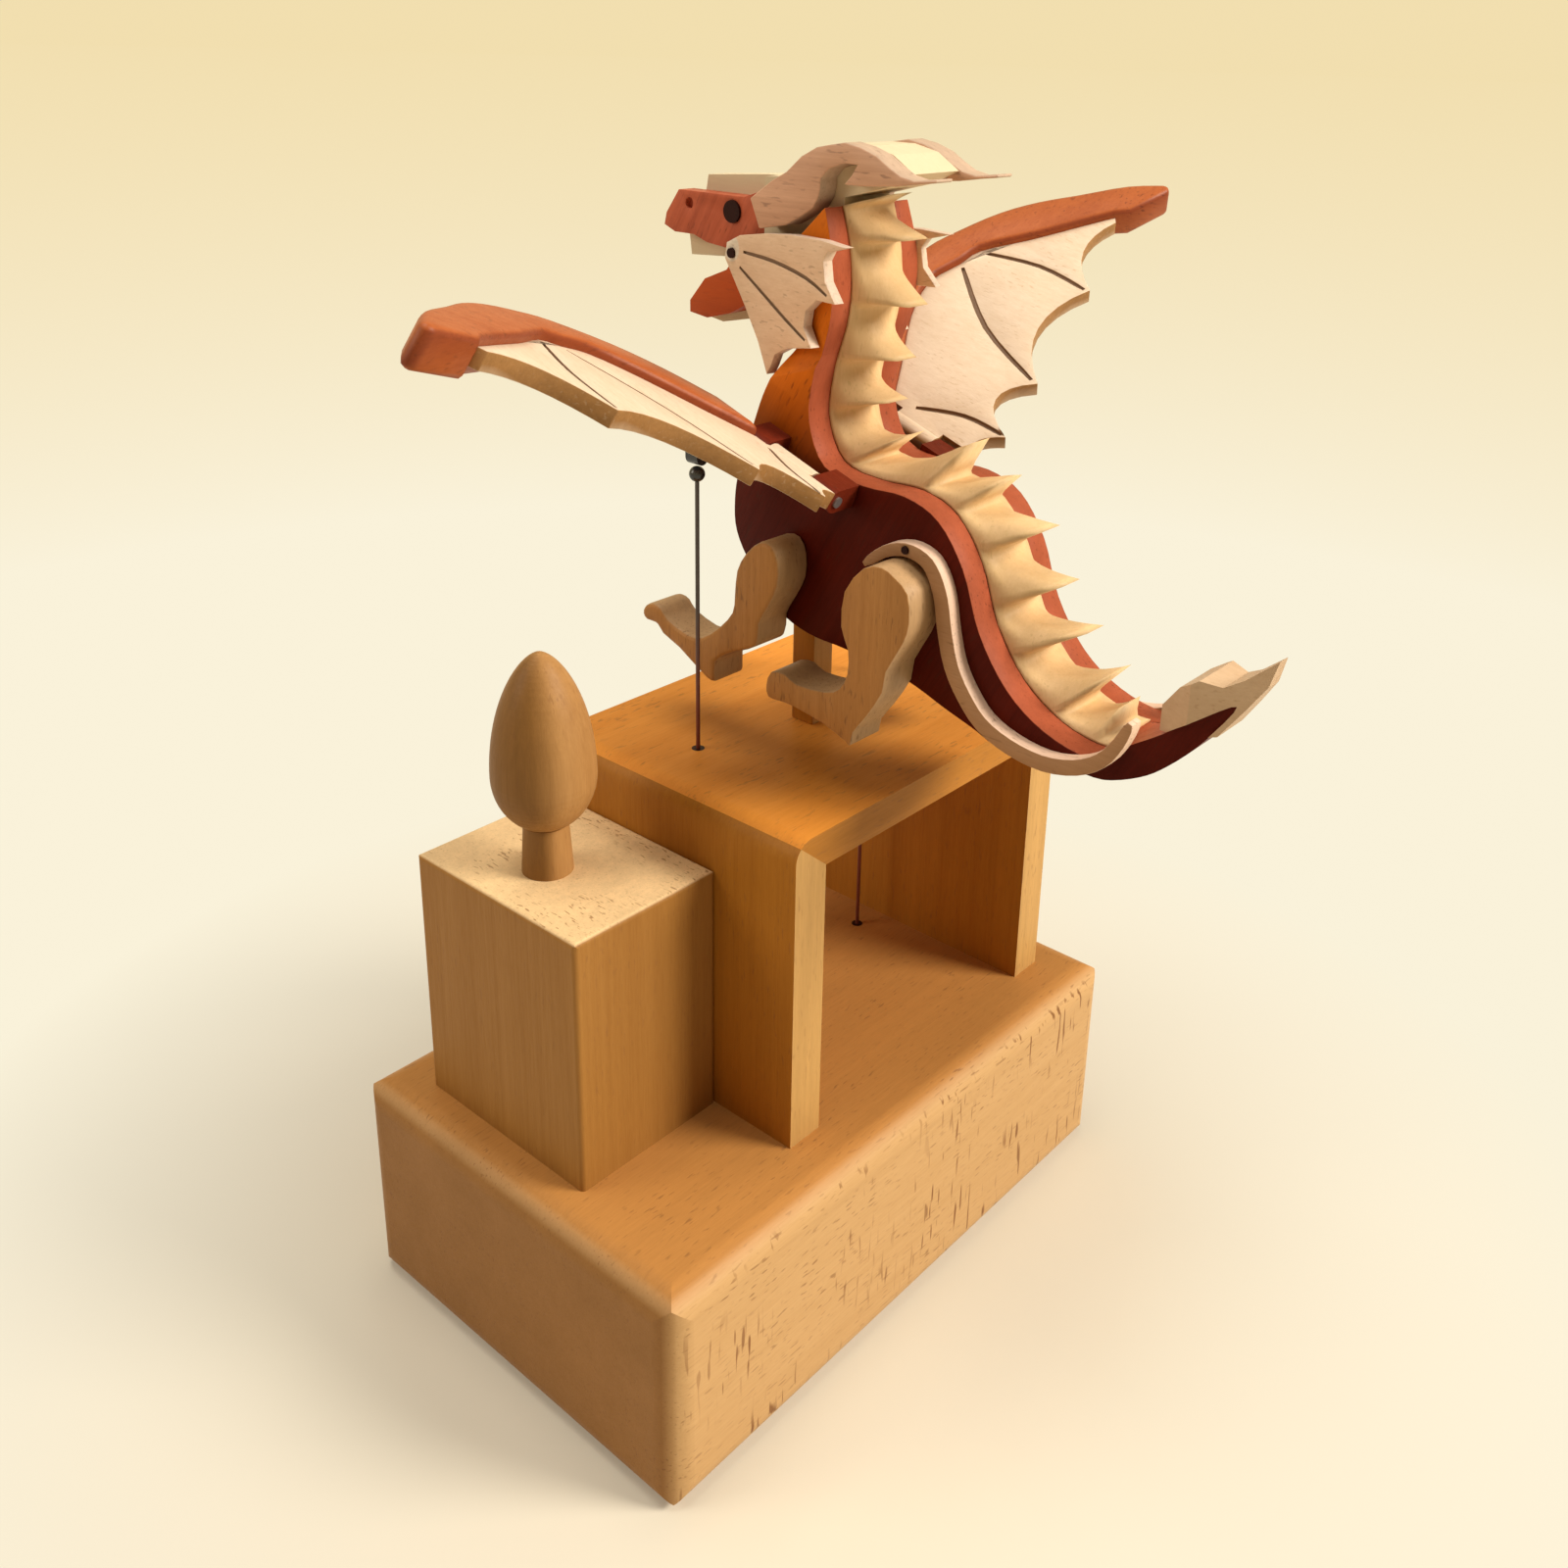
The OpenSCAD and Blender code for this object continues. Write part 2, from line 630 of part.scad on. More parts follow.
// Egg shape: widest at 0.3 of its height, with a narrow top
function egg_r(u) =
  crown_d / 2 * (u < 0.3 ? sqrt(1 - pow((0.3 - u) / 0.33, 2)) : pow(max(0, 1 - pow((u - 0.3) / 0.7, 2)), 0.62));
function egg_u(i) = (1 - cos(180 * i / 36)) / 2;

module tree_crown() {
  profile = concat(
    [[0, 0]],
    [for (i = [0 : 36]) [egg_r(egg_u(i)), crown_h * egg_u(i)]]);
  color(beech)
    translate([tree_x, tree_y, trunk_top])
      difference() {
        rotate_extrude()
          polygon(profile);
        translate([0, 0, -1])
          cylinder(d = tree_peg_d + 2 * glue_gap, h = tree_peg_l + 1.1);
      }
}

// Stage

// A front view (X, Z) of one board, as deep as the stage, trimmed by the stage's rounded outline
module stage_board(points) {
  translate([stage_x, stage_y + stage_d / 2, base_h])
    intersection() {
      rotate([90, 0, 0])
        linear_extrude(stage_d)
          polygon(points);
      translate([0, 0, (stage_h - 2 * stage_round) / 2])
        rotate([90, 0, 0])
          linear_extrude(stage_d)
            round_rect(stage_w, stage_h + 2 * stage_round, stage_round);
    }
}

wall_points = [
  [stage_w / 2, 0], [stage_w / 2, stage_h], [stage_w / 2 - stage_wall, stage_h - stage_top_t],
  [stage_w / 2 - stage_wall, 0]
];

module stage_left_wall() {
  color(beech)
    stage_board([for (p = wall_points) [-p[0], p[1]]]);
}

module stage_right_wall() {
  color(beech)
    stage_board(wall_points);
}

module stage_top() {
  color(beech)
    difference() {
      stage_board([
        [-stage_w / 2, stage_h], [stage_w / 2, stage_h],
        [stage_w / 2 - stage_wall, stage_h - stage_top_t],
        [-stage_w / 2 + stage_wall, stage_h - stage_top_t]
      ]);
      rod_spots()
        cylinder(d = bush_d + 2 * glue_gap, h = stage_top_z + 1);
    }
}

// Two bushes in the roof of the base and two in the stage's top
module rod_bushes() {
  color(dark)
    rod_spots()
      difference() {
        union() {
          translate([0, 0, cav_top])
            cylinder(d = bush_d, h = roof_t);
          translate([0, 0, stage_top_z - stage_top_t])
            cylinder(d = bush_d, h = stage_top_t);
        }
        cylinder(d = rod_d + 2 * rod_run, h = stage_top_z + 1);
      }
}

// Movement inside the base

bed_left = heel_x - 1;
bed_right = stage_x + bracket_half + 6;
bed_front = front_bracket_y;
bed_back = rear_bracket_y + bracket_t + 2.5;
bed_screw_in = 3;

module movement_screw_spots() {
  for (x = [bed_left + bed_screw_in, bed_right - bed_screw_in], y = [bed_front + bed_screw_in, bed_back - bed_screw_in])
    translate([x, y, 0])
      children();
}

module comb_screw_spots() {
  for (y = [0.2, 0.8])
    translate([heel_x + heel_l / 2, comb_y + comb_w * y, 0])
      children();
}

comb_z = cylinder_z - comb_t / 2;

module bedplate() {
  color(brass)
    difference() {
      union() {
        translate([bed_left, bed_front, plate_t])
          cube([bed_right - bed_left, bed_back - bed_front, bed_t]);
        translate([heel_x, comb_y, plate_t])
          cube([heel_l, comb_w, comb_z - plate_t]);
      }
      movement_screw_spots()
        cylinder(r = screw_r + glue_gap, h = comb_z + 5);
      movement_screw_spots()
        translate([0, 0, bed_z])
          cylinder(r = screw_head_r + 0.3, h = comb_z);
      comb_screw_spots()
        translate([0, 0, comb_z - 5])
          cylinder(r = screw_r + glue_gap, h = 6);
    }
}

module movement_screws() {
  color(steel) {
    movement_screw_spots() {
      translate([0, 0, plate_t / 4])
        cylinder(r = screw_r, h = bed_z - plate_t / 4);
      translate([0, 0, bed_z])
        cylinder(r = screw_head_r, h = screw_head_t);
    }
    comb_screw_spots() {
      translate([0, 0, comb_z - 5])
        cylinder(r = screw_r, h = 5 + comb_t);
      translate([0, 0, comb_z + comb_t])
        cylinder(r = screw_head_r, h = screw_head_t);
    }
  }
}

// A post on the bedplate with a bore along Y at height z
module bracket(x, y, z, r) {
  difference() {
    union() {
      translate([x - bracket_half, y, bed_z])
        cube([2 * bracket_half, bracket_t, z - bed_z]);
      translate([x, 0, z])
        along_y(bracket_half, y, bracket_t);
    }
    translate([x, 0, z])
      along_y(r, y - 1, bracket_t + 2);
  }
}

module movement_brackets() {
  color(brass) {
    bracket(cylinder_x, front_bracket_y, cylinder_z, arbor_r + shaft_run);
    bracket(cylinder_x, rear_bracket_y, cylinder_z, arbor_r + shaft_run);
    bracket(stage_x, shaft_bracket_y, shaft_z, shaft_r + shaft_run);
  }
}

module comb() {
  color(steel)
    difference() {
      union() {
        translate([heel_x, comb_y, comb_z])
          cube([heel_l, comb_w, comb_t]);
        for (i = [0 : comb_teeth - 1])
          translate([heel_x, comb_y + (i + 0.5) * comb_pitch - comb_tooth_w / 2, comb_z])
            cube([heel_l + comb_l, comb_tooth_w, comb_t]);
      }
      comb_screw_spots()
        translate([0, 0, comb_z - 1])
          cylinder(r = screw_r + glue_gap, h = comb_t + 2);
    }
}

module crank_bush() {
  color(brass)
    translate([stage_x, 0, shaft_z])
      difference() {
        union() {
          along_y(crank_bush_d / 2, cav_y, end_wall);
          along_y(flange_d / 2, back_face, flange_t);
        }
        along_y(shaft_r + shaft_run, 0, base_d);
      }
}

module crank_shaft() {
  color(steel)
    translate([stage_x, 0, shaft_z])
      along_y(shaft_r, shaft_bracket_y - end_gap, arm_y + arm_t - shaft_bracket_y + end_gap);
}

module lift_cam() {
  color(brass)
    translate([stage_x, 0, shaft_z])
      difference() {
        translate([lift, 0, 0])
          along_y(cam_r, rod_y - cam_t / 2, cam_t);
        along_y(shaft_r + glue_gap, 0, base_d);
      }
}

function involute(a) = tan(a) * 180 / PI - a;
// Half the angle of a tooth at radius r, 20 degree pressure angle
function tooth_half(teeth, r) =
  let (pitch_r = gear_m * teeth / 2)
  let (base_r = pitch_r * cos(20))
  90 / teeth - gear_play / 4 / pitch_r * 180 / PI + involute(20)
    - involute(acos(min(1, base_r / max(r, base_r))));
function gear_outline(teeth) =
  let (pitch_r = gear_m * teeth / 2)
  let (foot_r = pitch_r - gear_m)
  let (tip_r = pitch_r + 0.65 * gear_m)
  [for (i = [0 : teeth - 1]) for (j = [-4 : 4])
    if (j != 0)
      let (r = tip_r - (tip_r - foot_r) * (abs(j) - 1) / 3)
      let (a = 360 * i / teeth + sign(j) * tooth_half(teeth, r))
      [r * cos(a), r * sin(a)]];

// A gear seen along Y with a tooth at the given angle
module gear(teeth, angle, bore_r) {
  translate([0, gear_y + gear_t, 0])
    rotate([90, 0, 0])
      difference() {
        linear_extrude(gear_t)
          rotate(angle)
            polygon(gear_outline(teeth));
        translate([0, 0, -1])
          cylinder(r = bore_r, h = gear_t + 2);
      }
}

module drive_pinion() {
  color(brass)
    translate([stage_x, 0, shaft_z])
      gear(pinion_teeth, mesh_angle, shaft_r + glue_gap);
}

module cylinder_gear() {
  color(brass)
    translate([cylinder_x, 0, cylinder_z])
      gear(gear_teeth, mesh_angle + 180 + 180 / gear_teeth, arbor_r + glue_gap);
}

module cylinder_arbor() {
  color(steel)
    translate([cylinder_x, 0, cylinder_z])
      along_y(arbor_r, front_bracket_y - end_gap / 2, rear_bracket_y + bracket_t + end_gap - front_bracket_y);
}

module music_cylinder() {
  color(brass)
    translate([cylinder_x, 0, cylinder_z])
      difference() {
        union() {
          along_y(cylinder_r, cylinder_y, cylinder_l);
          for (i = [0 : notes - 1])
            translate([0, comb_y + ((i * 7) % comb_teeth + 0.5) * comb_pitch, 0])
              rotate([0, i * 137.5, 0])
                cylinder(r = note_r, h = cylinder_r + note_h, $fn = 16);
        }
        along_y(arbor_r + glue_gap, cylinder_y - 1, cylinder_l + 2);
      }
}

module crank_arm() {
  color(steel)
    translate([stage_x, 0, shaft_z])
      difference() {
        union() {
          along_y(arm_w / 2 + 1, arm_y, arm_t);
          translate([0, arm_y, -arm_w / 2])
            cube([crank_throw, arm_t, arm_w]);
          translate([crank_throw, 0, 0]) {
            along_y(arm_w / 2, arm_y, arm_t);
            along_y(knob_pin_r, arm_y, arm_t + 2 * knob_gap + knob_l + knob_head_t);
            along_y(knob_pin_r + 1, knob_y + knob_l + knob_gap, knob_head_t);
          }
        }
        along_y(shaft_r + glue_gap, arm_y - 1, arm_t + 2);
      }
}

// A turned knob, thinner at the arm's end
module crank_knob() {
  grip = concat(
    [[knob_pin_r + shaft_run, 0]],
    [for (i = [0 : 12])
      [knob_d / 2 * (0.7 + 0.3 * pow(sin(15 + 12.5 * i), 1.5)), knob_l * i / 12]],
    [[knob_pin_r + shaft_run, knob_l]]);
  color(beech)
    translate([stage_x + crank_throw, knob_y, shaft_z])
      rotate([-90, 0, 0])
        rotate_extrude()
          polygon(grip);
}

// Lifter: a beam over the cam with a push rod at each end

module lift_beam() {
  color(brass)
    difference() {
      translate([stage_x - rod_off - beam_past, rod_y - beam_d / 2, beam_z])
        cube([2 * (rod_off + beam_past), beam_d, beam_t]);
      rod_spots()
        cylinder(d = rod_d + 2 * glue_gap, h = base_h);
    }
}

module push_rods() {
  color(steel)
    rod_spots()
      translate([0, 0, beam_z])
        cylinder(d = rod_d, h = ball_z - beam_z);
}

module rod_tips() {
  color(dark)
    rod_spots()
      difference() {
        translate([0, 0, ball_z])
          sphere(ball_r);
        translate([0, 0, ball_z - 2 * ball_r])
          cylinder(d = rod_d + 2 * glue_gap, h = 2 * ball_r);
      }
}

// Dragon: body

module support_post() {
  color(beech)
    at_dragon()
      difference() {
        translate([-post_w / 2, -post_w / 2, 0])
          cube([post_w, post_w, 34]);
        body_slab();
      }
}

module body_core() {
  color(padauk)
    at_dragon()
      intersection() {
        slab(-body_half, core_w, body_outline);
        linear_extrude(120)
          polygon([
            [-body_half, 40], [-body_half, taper_start], [-body_half * 0.48, taper_end],
            [-body_half * 0.4, taper_end - 6], [body_half * 0.4, taper_end - 6],
            [body_half * 0.48, taper_end], [body_half, taper_start], [body_half, 40]
          ]);
      }
}

// The room that a frill needs beside the neck
module frill_room() {
  translate([frill_root[0], frill_root[1], 0])
    rotate([0, 0, frill_flare])
      translate([-frill_t - frill_gap, -60, neck_pare_z]) {
        cube([60, 120, 60]);
        rotate([0, neck_slope, 0])
          cube([60, 120, 60]);
      }
}

module side_plate() {
  color(padauk)
    difference() {
      slab(body_half, side_t, body_outline);
      slab(body_half - 1, side_t + 2, tail_line);
      translate([0, plate_end - 40, 0])
        cube([100, 40, 100]);
      frill_room();
    }
}

module left_side_plate() {
  at_dragon()
    left()
      side_plate();
}

module right_side_plate() {
  at_dragon()
    side_plate();
}

// The crest is a row of fins along the body, with a scooped hollow in front of each fin and a steep drop behind it
crest_rows = scales * scale_rows * crest_steps;
function crest_foot(r) =
  let (i = floor(r / crest_steps))
  let (f = r / crest_steps - i)
  body_outline[i] * (1 - f) + body_outline[i + 1] * f;
function crest_out(r) =
  let (t = crest_foot(r + 1) - crest_foot(max(r - 1, 0)))
  [t[1], -t[0]] / norm(t);
function fin_before(r) = len([for (f = fin_row) if (f <= r) f]) - 1;
function fin_after(r) = min(fin_before(r) + 1, len(fin_row) - 1);
function crest_way(r) =
  let (i = fin_before(r))
  let (j = fin_after(r))
  let (f = j == i ? 0 : (r - fin_row[i]) / (fin_row[j] - fin_row[i]))
  let (turn = fin_turn[i] * (1 - f) + fin_turn[j] * f)
  let (way = [-cos(turn), sin(turn)])
  way / (way * crest_out(r));
function crest_share(r) =
  let (i = fin_before(r))
  let (j = fin_after(r))
  let (gone = r - fin_row[i])
  let (fall = max(0, 1 - gone / fin_back))
  let (rise = j == i ? 0 : max(0, (gone - fin_back) / (fin_row[j] - fin_row[i] - fin_back)))
  hollow_share + (fin_share[i] - hollow_share) * pow(fall, 2) + (fin_share[j] - hollow_share) * pow(rise, 2);
function crest_top(r, v) = crest_lip + crest_h * crest_share(r) * min(1, (1 - abs(v)) / fin_side);
function crest_point(r, v, h) =
  let (p = crest_foot(r) + crest_way(r) * h)
  [v * body_half, p[0], p[1]];

module crest() {
  n = 2 * crest_halves + 1;
  row = n + 2;
  points = [
    for (r = [0 : crest_rows])
      for (k = [0 : n + 1])
        k < n ? crest_point(r, k / crest_halves - 1, crest_top(r, k / crest_halves - 1))
              : crest_point(r, k == n ? 1 : -1, 0)
  ];
  sides = [
    for (r = [0 : crest_rows - 1])
      for (k = [0 : n + 1])
        for (half = [0, 1])
          let (a = r * row + k)
          let (b = r * row + (k + 1) % row)
          k < crest_halves
            ? (half == 0 ? [a, b, b + row] : [a, b + row, a + row])
            : (half == 0 ? [a, b, a + row] : [b, b + row, a + row])
  ];
  first = [for (k = [n + 1 : -1 : 0]) k];
  last = [for (k = [0 : n + 1]) crest_rows * row + k];
  color(cream)
    at_dragon()
      polyhedron(points = points, faces = concat(sides, [first, last]));
}

module tail_spade() {
  plan = concat(spade_plan, [for (p = reversed(spade_plan)) [-p[0], p[1]]]);
  color(cream)
    at_dragon()
      difference() {
        intersection() {
          slab(-body_half, core_w, spade_points);
          linear_extrude(60)
            polygon(plan);
        }
        body_slab();
      }
}

haunch_dowel_at = [-29.5, 41.7];

module haunch_strip() {
  color(beech)
    difference() {
      slab(flank, haunch_t, band(smooth_open(haunch_line, 3), haunch_half, 0.4));
      translate([0, haunch_dowel_at[0], haunch_dowel_at[1]])
        along_x(haunch_dowel_r + glue_gap, flank + 1, haunch_t);
    }
}

module left_haunch_strip() {
  at_dragon()
    left()
      haunch_strip();
}

module right_haunch_strip() {
  at_dragon()
    haunch_strip();
}

module front_leg() {
  color(beech)
    slab(flank, leg_t, smooth_closed(front_leg_points, 2));
}

module hind_leg() {
  color(beech)
    slab(flank, leg_t, smooth_closed(hind_leg_points, 2));
}

module left_front_leg() {
  at_dragon()
    left()
      front_leg();
}

module right_front_leg() {
  at_dragon()
    front_leg();
}

module left_hind_leg() {
  at_dragon()
    left()
      hind_leg();
}

module right_hind_leg() {
  at_dragon()
    hind_leg();
}

// Dragon: head

module head_core() {
  color(cream)
    at_dragon()
      slab(-head_half, head_core_w, head_points);
}

module crown_core() {
  color(cream)
    at_dragon()
      difference() {
        slab(-head_side, 2 * head_side, crown_points);
        body_slab();
      }
}

module cheek() {
  color(padauk)
    difference() {
      slab(head_half, cheek_t, cheek_points);
      translate([0, eye_at[0], eye_at[1]])
        along_x(eye_r + glue_gap, head_side - eye_sink, cheek_t);
      translate([0, nostril_at[0], nostril_at[1]])
        along_x(nostril_r, head_side - nostril_deep, cheek_t);
    }
}

module left_cheek() {
  at_dragon()
    left()
      cheek();
}

module right_cheek() {
  at_dragon()
    cheek();
}

module eyes() {
  color(dark)
    at_dragon()
      for (m = [0, 1])
        mirror([m, 0, 0])
          translate([0, eye_at[0], eye_at[1]])
            along_x(eye_r, head_side - eye_sink, eye_sink + eye_out);
}

module jaw_core() {
  color(cream)
    at_dragon()
      difference() {
        slab(-head_half, head_core_w, jaw_core_points);
        body_slab();
      }
}

// The frill's dowel in the dragon's frame, right-hand side
frill_dowel_y = frill_root[1] - frill_dowel_at[0] * cos(frill_flare);
frill_dowel_end = frill_root[0] + frill_dowel_at[0] * sin(frill_flare) + frill_dowel_r * tan(frill_flare) + dowel_out;

module frill_dowel(r, from, to) {
  translate([0, frill_dowel_y, frill_dowel_at[1]])
    along_x(r, from, to - from);
}

module jaw() {
  color(padauk)
    difference() {
      slab(head_half, cheek_t, jaw_points);
      frill_dowel(frill_dowel_r + glue_gap, head_side - frill_dowel_in, 20);
    }
}

module left_jaw() {
  at_dragon()
    left()
      jaw();
}

module right_jaw() {
  at_dragon()
    jaw();
}

module horn() {
  color(rosy)
    difference() {
      slab(head_side, horn_t, horn_points);
      body_slab();
    }
}

module left_horn() {
  at_dragon()
    left()
      horn();
}

module right_horn() {
  at_dragon()
    horn();
}

module frill() {
  color(rosy)
    difference() {
      translate([frill_root[0], frill_root[1], 0])
        rotate([0, 0, frill_flare])
          difference() {
            slab(-frill_t, frill_t, [for (p = frill_points) [-p[0], p[1]]]);
            for (f = frill_fingers)
              slab(-frill_groove_deep, frill_groove_deep + 1,
                [for (p = band(smooth_open(f, 3), frill_groove_w / 2, frill_groove_w / 3)) [-p[0], p[1]]]);
          }
      frill_dowel(frill_dowel_r + glue_gap, 0, 30);
    }
}

module left_frill() {
  at_dragon()
    left()
      frill();
}

module right_frill() {
  at_dragon()
    frill();
}

module dowels() {
  color(dark)
    at_dragon()
      for (m = [0, 1])
        mirror([m, 0, 0]) {
          frill_dowel(frill_dowel_r, head_side - frill_dowel_in, frill_dowel_end);
          translate([0, haunch_dowel_at[0], haunch_dowel_at[1]])
            along_x(haunch_dowel_r, flank + 1, haunch_t - 1 + dowel_out);
        }
}

// Wings: each hangs on a pin between two fixed lugs. In a wing's own frame X runs out, Y runs
// forward along the hinge and Z stands on the wing's face.

module at_hinge() {
  translate([hinge_x, hinge_y, hinge_z])
    rotate([hinge_tilt, 0, 0])
      children();
}

module wing_frame(raise) {
  at_hinge()
    rotate([0, -raise, 0])
      children();
}

module hinge_lugs() {
  color(padauk)
    at_dragon()
      for (m = [0, 1])
        mirror([m, 0, 0])
          at_hinge()
            for (y = [barrel_from - barrel_gap - lug_l, barrel_to + barrel_gap])
              difference() {
                union() {
                  along_y(barrel_r, y, lug_l);
                  translate([flank - hinge_x, y, -barrel_r])
                    cube([hinge_x - flank, lug_l, 2 * barrel_r]);
                }
                along_y(hinge_pin_r + glue_gap, y - 1, lug_l + 2);
              }
}

pin_from = barrel_from - barrel_gap - lug_l - dowel_out;
pin_to = barrel_to + barrel_gap + lug_l + dowel_out;

module hinge_pins() {
  color(steel)
    at_dragon()
      for (m = [0, 1])
        mirror([m, 0, 0])
          at_hinge()
            along_y(hinge_pin_r, pin_from, pin_to - pin_from);
}

bone_under = smooth_open(wing_under, 3);
bone_outline = concat(smooth_open(wing_lead, 3), wing_tip, reversed(bone_under));
membrane_outline = concat(
  bone_under,
  [for (i = [0 : len(scallop_pulls) - 1]) for (k = [0 : 7])
    pulled(scallop_peaks[i], scallop_pulls[i], scallop_peaks[i + 1], k / 8)],
  [scallop_peaks[len(scallop_pulls)]]);

module wing_bone() {
  color(padauk)
    translate([0, 0, -bone_t / 2])
      linear_extrude(bone_t)
        polygon(bone_outline);
}

module wing_membrane() {
  color(maple)
    difference() {
      union() {
        translate([0, 0, -membrane_t / 2])
          linear_extrude(membrane_t)
            polygon(membrane_outline);
        translate([0, barrel_from, -membrane_t / 2])
          cube([wing_root + 1, barrel_to - barrel_from, membrane_t]);
        along_y(barrel_r, barrel_from, barrel_to - barrel_from);
      }
      along_y(hinge_pin_r + shaft_run, barrel_from - 1, barrel_to - barrel_from + 2);
      for (f = fingers)
        translate([0, 0, membrane_t / 2 - groove_deep])
          linear_extrude(groove_deep + 1)
            polygon(band(smooth_open(f, 4), groove_w / 2, groove_w / 3));
    }
}

// A lug under the bone, over the push rod's ball. It stands upright at rest.
module wing_lug(raise) {
  color(dark)
    difference() {
      translate([rod_off, rod_back, nose_z - stage_top_z]) {
        along_y(lug_r, -lug_d / 2, lug_d);
        translate([-lug_r, -lug_d / 2, 0])
          cube([2 * lug_r, lug_d, 30]);
      }
      wing_frame(raise)
        translate([-60, -60, -bone_t / 2])
          cube([160, 120, 80]);
    }
}

module left_wing_bone() {
  at_dragon()
    left()
      wing_frame(left_raise)
        wing_bone();
}

module right_wing_bone() {
  at_dragon()
    wing_frame(right_raise)
      wing_bone();
}

module left_wing_membrane() {
  at_dragon()
    left()
      wing_frame(left_raise)
        wing_membrane();
}

module right_wing_membrane() {
  at_dragon()
    wing_frame(right_raise)
      wing_membrane();
}

module left_wing_lug() {
  at_dragon()
    left()
      wing_lug(left_raise);
}

module right_wing_lug() {
  at_dragon()
    wing_lug(right_raise);
}

base_block();
bottom_plate();
plate_screws();
tower_block();
tree_trunk();
tree_crown();
stage_left_wall();
stage_right_wall();
stage_top();
rod_bushes();
crank_bush();
bedplate();
movement_screws();
movement_brackets();
comb();
support_post();
body_core();
left_side_plate();
right_side_plate();
crest();
tail_spade();
left_haunch_strip();
right_haunch_strip();
dowels();
left_front_leg();
right_front_leg();
left_hind_leg();
right_hind_leg();
head_core();
crown_core();
left_cheek();
right_cheek();
jaw_core();
left_jaw();
right_jaw();
left_horn();
right_horn();
left_frill();
right_frill();
eyes();
hinge_lugs();
hinge_pins();
crank_shaft();
lift_cam();
drive_pinion();
crank_arm();
crank_knob();
music_cylinder();
cylinder_arbor();
cylinder_gear();
lift_beam();
push_rods();
rod_tips();
left_wing_bone();
right_wing_bone();
left_wing_membrane();
right_wing_membrane();
left_wing_lug();
right_wing_lug();
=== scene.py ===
# %% [markdown]
# # A wooden music box with a flying dragon
# The dragon is sawn from layers of different woods and flies over a small stage. A block base hides the
# movement. The solids come ready made, each riding on the body that moves it. This lesson gives them
# their woods and metals, breaks their sharp sawn edges, darkens the finger grooves of the wings, and
# lights the whole like the photograph.

# %% Load the solids
import json
import math

import bmesh
import bpy
from mathutils import Matrix, Vector


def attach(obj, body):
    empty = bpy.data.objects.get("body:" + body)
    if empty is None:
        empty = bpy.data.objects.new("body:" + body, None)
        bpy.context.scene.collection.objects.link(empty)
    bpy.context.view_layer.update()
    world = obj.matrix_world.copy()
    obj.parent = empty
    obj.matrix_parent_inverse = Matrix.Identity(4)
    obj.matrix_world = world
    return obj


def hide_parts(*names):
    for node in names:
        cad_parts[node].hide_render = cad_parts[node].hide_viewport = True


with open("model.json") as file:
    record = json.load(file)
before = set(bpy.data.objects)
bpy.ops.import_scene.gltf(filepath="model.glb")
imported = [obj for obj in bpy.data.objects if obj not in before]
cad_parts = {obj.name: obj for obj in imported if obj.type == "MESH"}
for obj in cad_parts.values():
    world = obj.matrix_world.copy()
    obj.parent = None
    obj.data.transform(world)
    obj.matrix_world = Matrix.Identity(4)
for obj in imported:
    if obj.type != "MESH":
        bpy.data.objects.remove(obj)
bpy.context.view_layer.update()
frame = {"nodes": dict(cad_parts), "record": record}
scene = bpy.context.scene
MM = 0.001
PER_METRE = 1000

# %% [markdown]
# ## The camera
# The photograph looks down on the base's front left corner from about twenty degrees. Its picture is
# cropped off centre, so the lens is shifted a little instead of turning the camera, which keeps the
# uprights leaning as they do there.

# %% Camera at the photograph's place
azimuth, elevation, roll = math.radians(-49.703), math.radians(19.747), math.radians(1.498)
level = math.cos(elevation)
back = Vector((math.sin(azimuth) * level, -math.cos(azimuth) * level, math.sin(elevation)))
right = Vector((0, 0, 1)).cross(back).normalized()
up = back.cross(right)
right_rolled = right * math.cos(roll) + up * math.sin(roll)
up_rolled = up * math.cos(roll) - right * math.sin(roll)

PLACE_MM = Vector((-171.85, -158.79, 210.04))
lens = bpy.data.cameras.new("photo_camera")
lens.sensor_width = 36
lens.lens = 34.72
lens.shift_x = -0.0257
lens.shift_y = -0.1328
lens.clip_start = 0.005
lens.clip_end = 50
camera = bpy.data.objects.new("photo_camera", lens)
turn = Matrix((right_rolled, up_rolled, back)).transposed().to_4x4()
camera.matrix_world = Matrix.Translation(PLACE_MM * MM) @ turn
scene.collection.objects.link(camera)
scene.camera = camera
print("camera at", [round(v, 4) for v in camera.location])

# %% [markdown]
# ## Small node helpers
# Shader trees repeat the same few steps: a sum, a remapped value, a mix of two colours. Each helper adds
# one node and hands back its output, so the materials below read like recipes.

# %% Helpers that add one node


def put(tree, socket, value):
    if isinstance(value, tuple):
        socket.default_value = (*value, 1) if len(value) == 3 and socket.type == "RGBA" else value
    elif isinstance(value, (int, float)):
        socket.default_value = value
    else:
        tree.links.new(value, socket)


def maths(tree, operation, first, second):
    node = tree.nodes.new("ShaderNodeMath")
    node.operation = operation
    put(tree, node.inputs[0], first)
    put(tree, node.inputs[1], second)
    return node.outputs["Value"]


def span(tree, value, start, end, low=0.0, high=1.0):
    node = tree.nodes.new("ShaderNodeMapRange")
    put(tree, node.inputs["Value"], value)
    for name, number in (("From Min", start), ("From Max", end), ("To Min", low), ("To Max", high)):
        node.inputs[name].default_value = number
    return node.outputs["Result"]


def mixed(tree, factor, first, second):
    node = tree.nodes.new("ShaderNodeMix")
    node.data_type = "RGBA"
    put(tree, node.inputs[0], factor)
    put(tree, node.inputs[6], first)
    put(tree, node.inputs[7], second)
    return node.outputs[2]


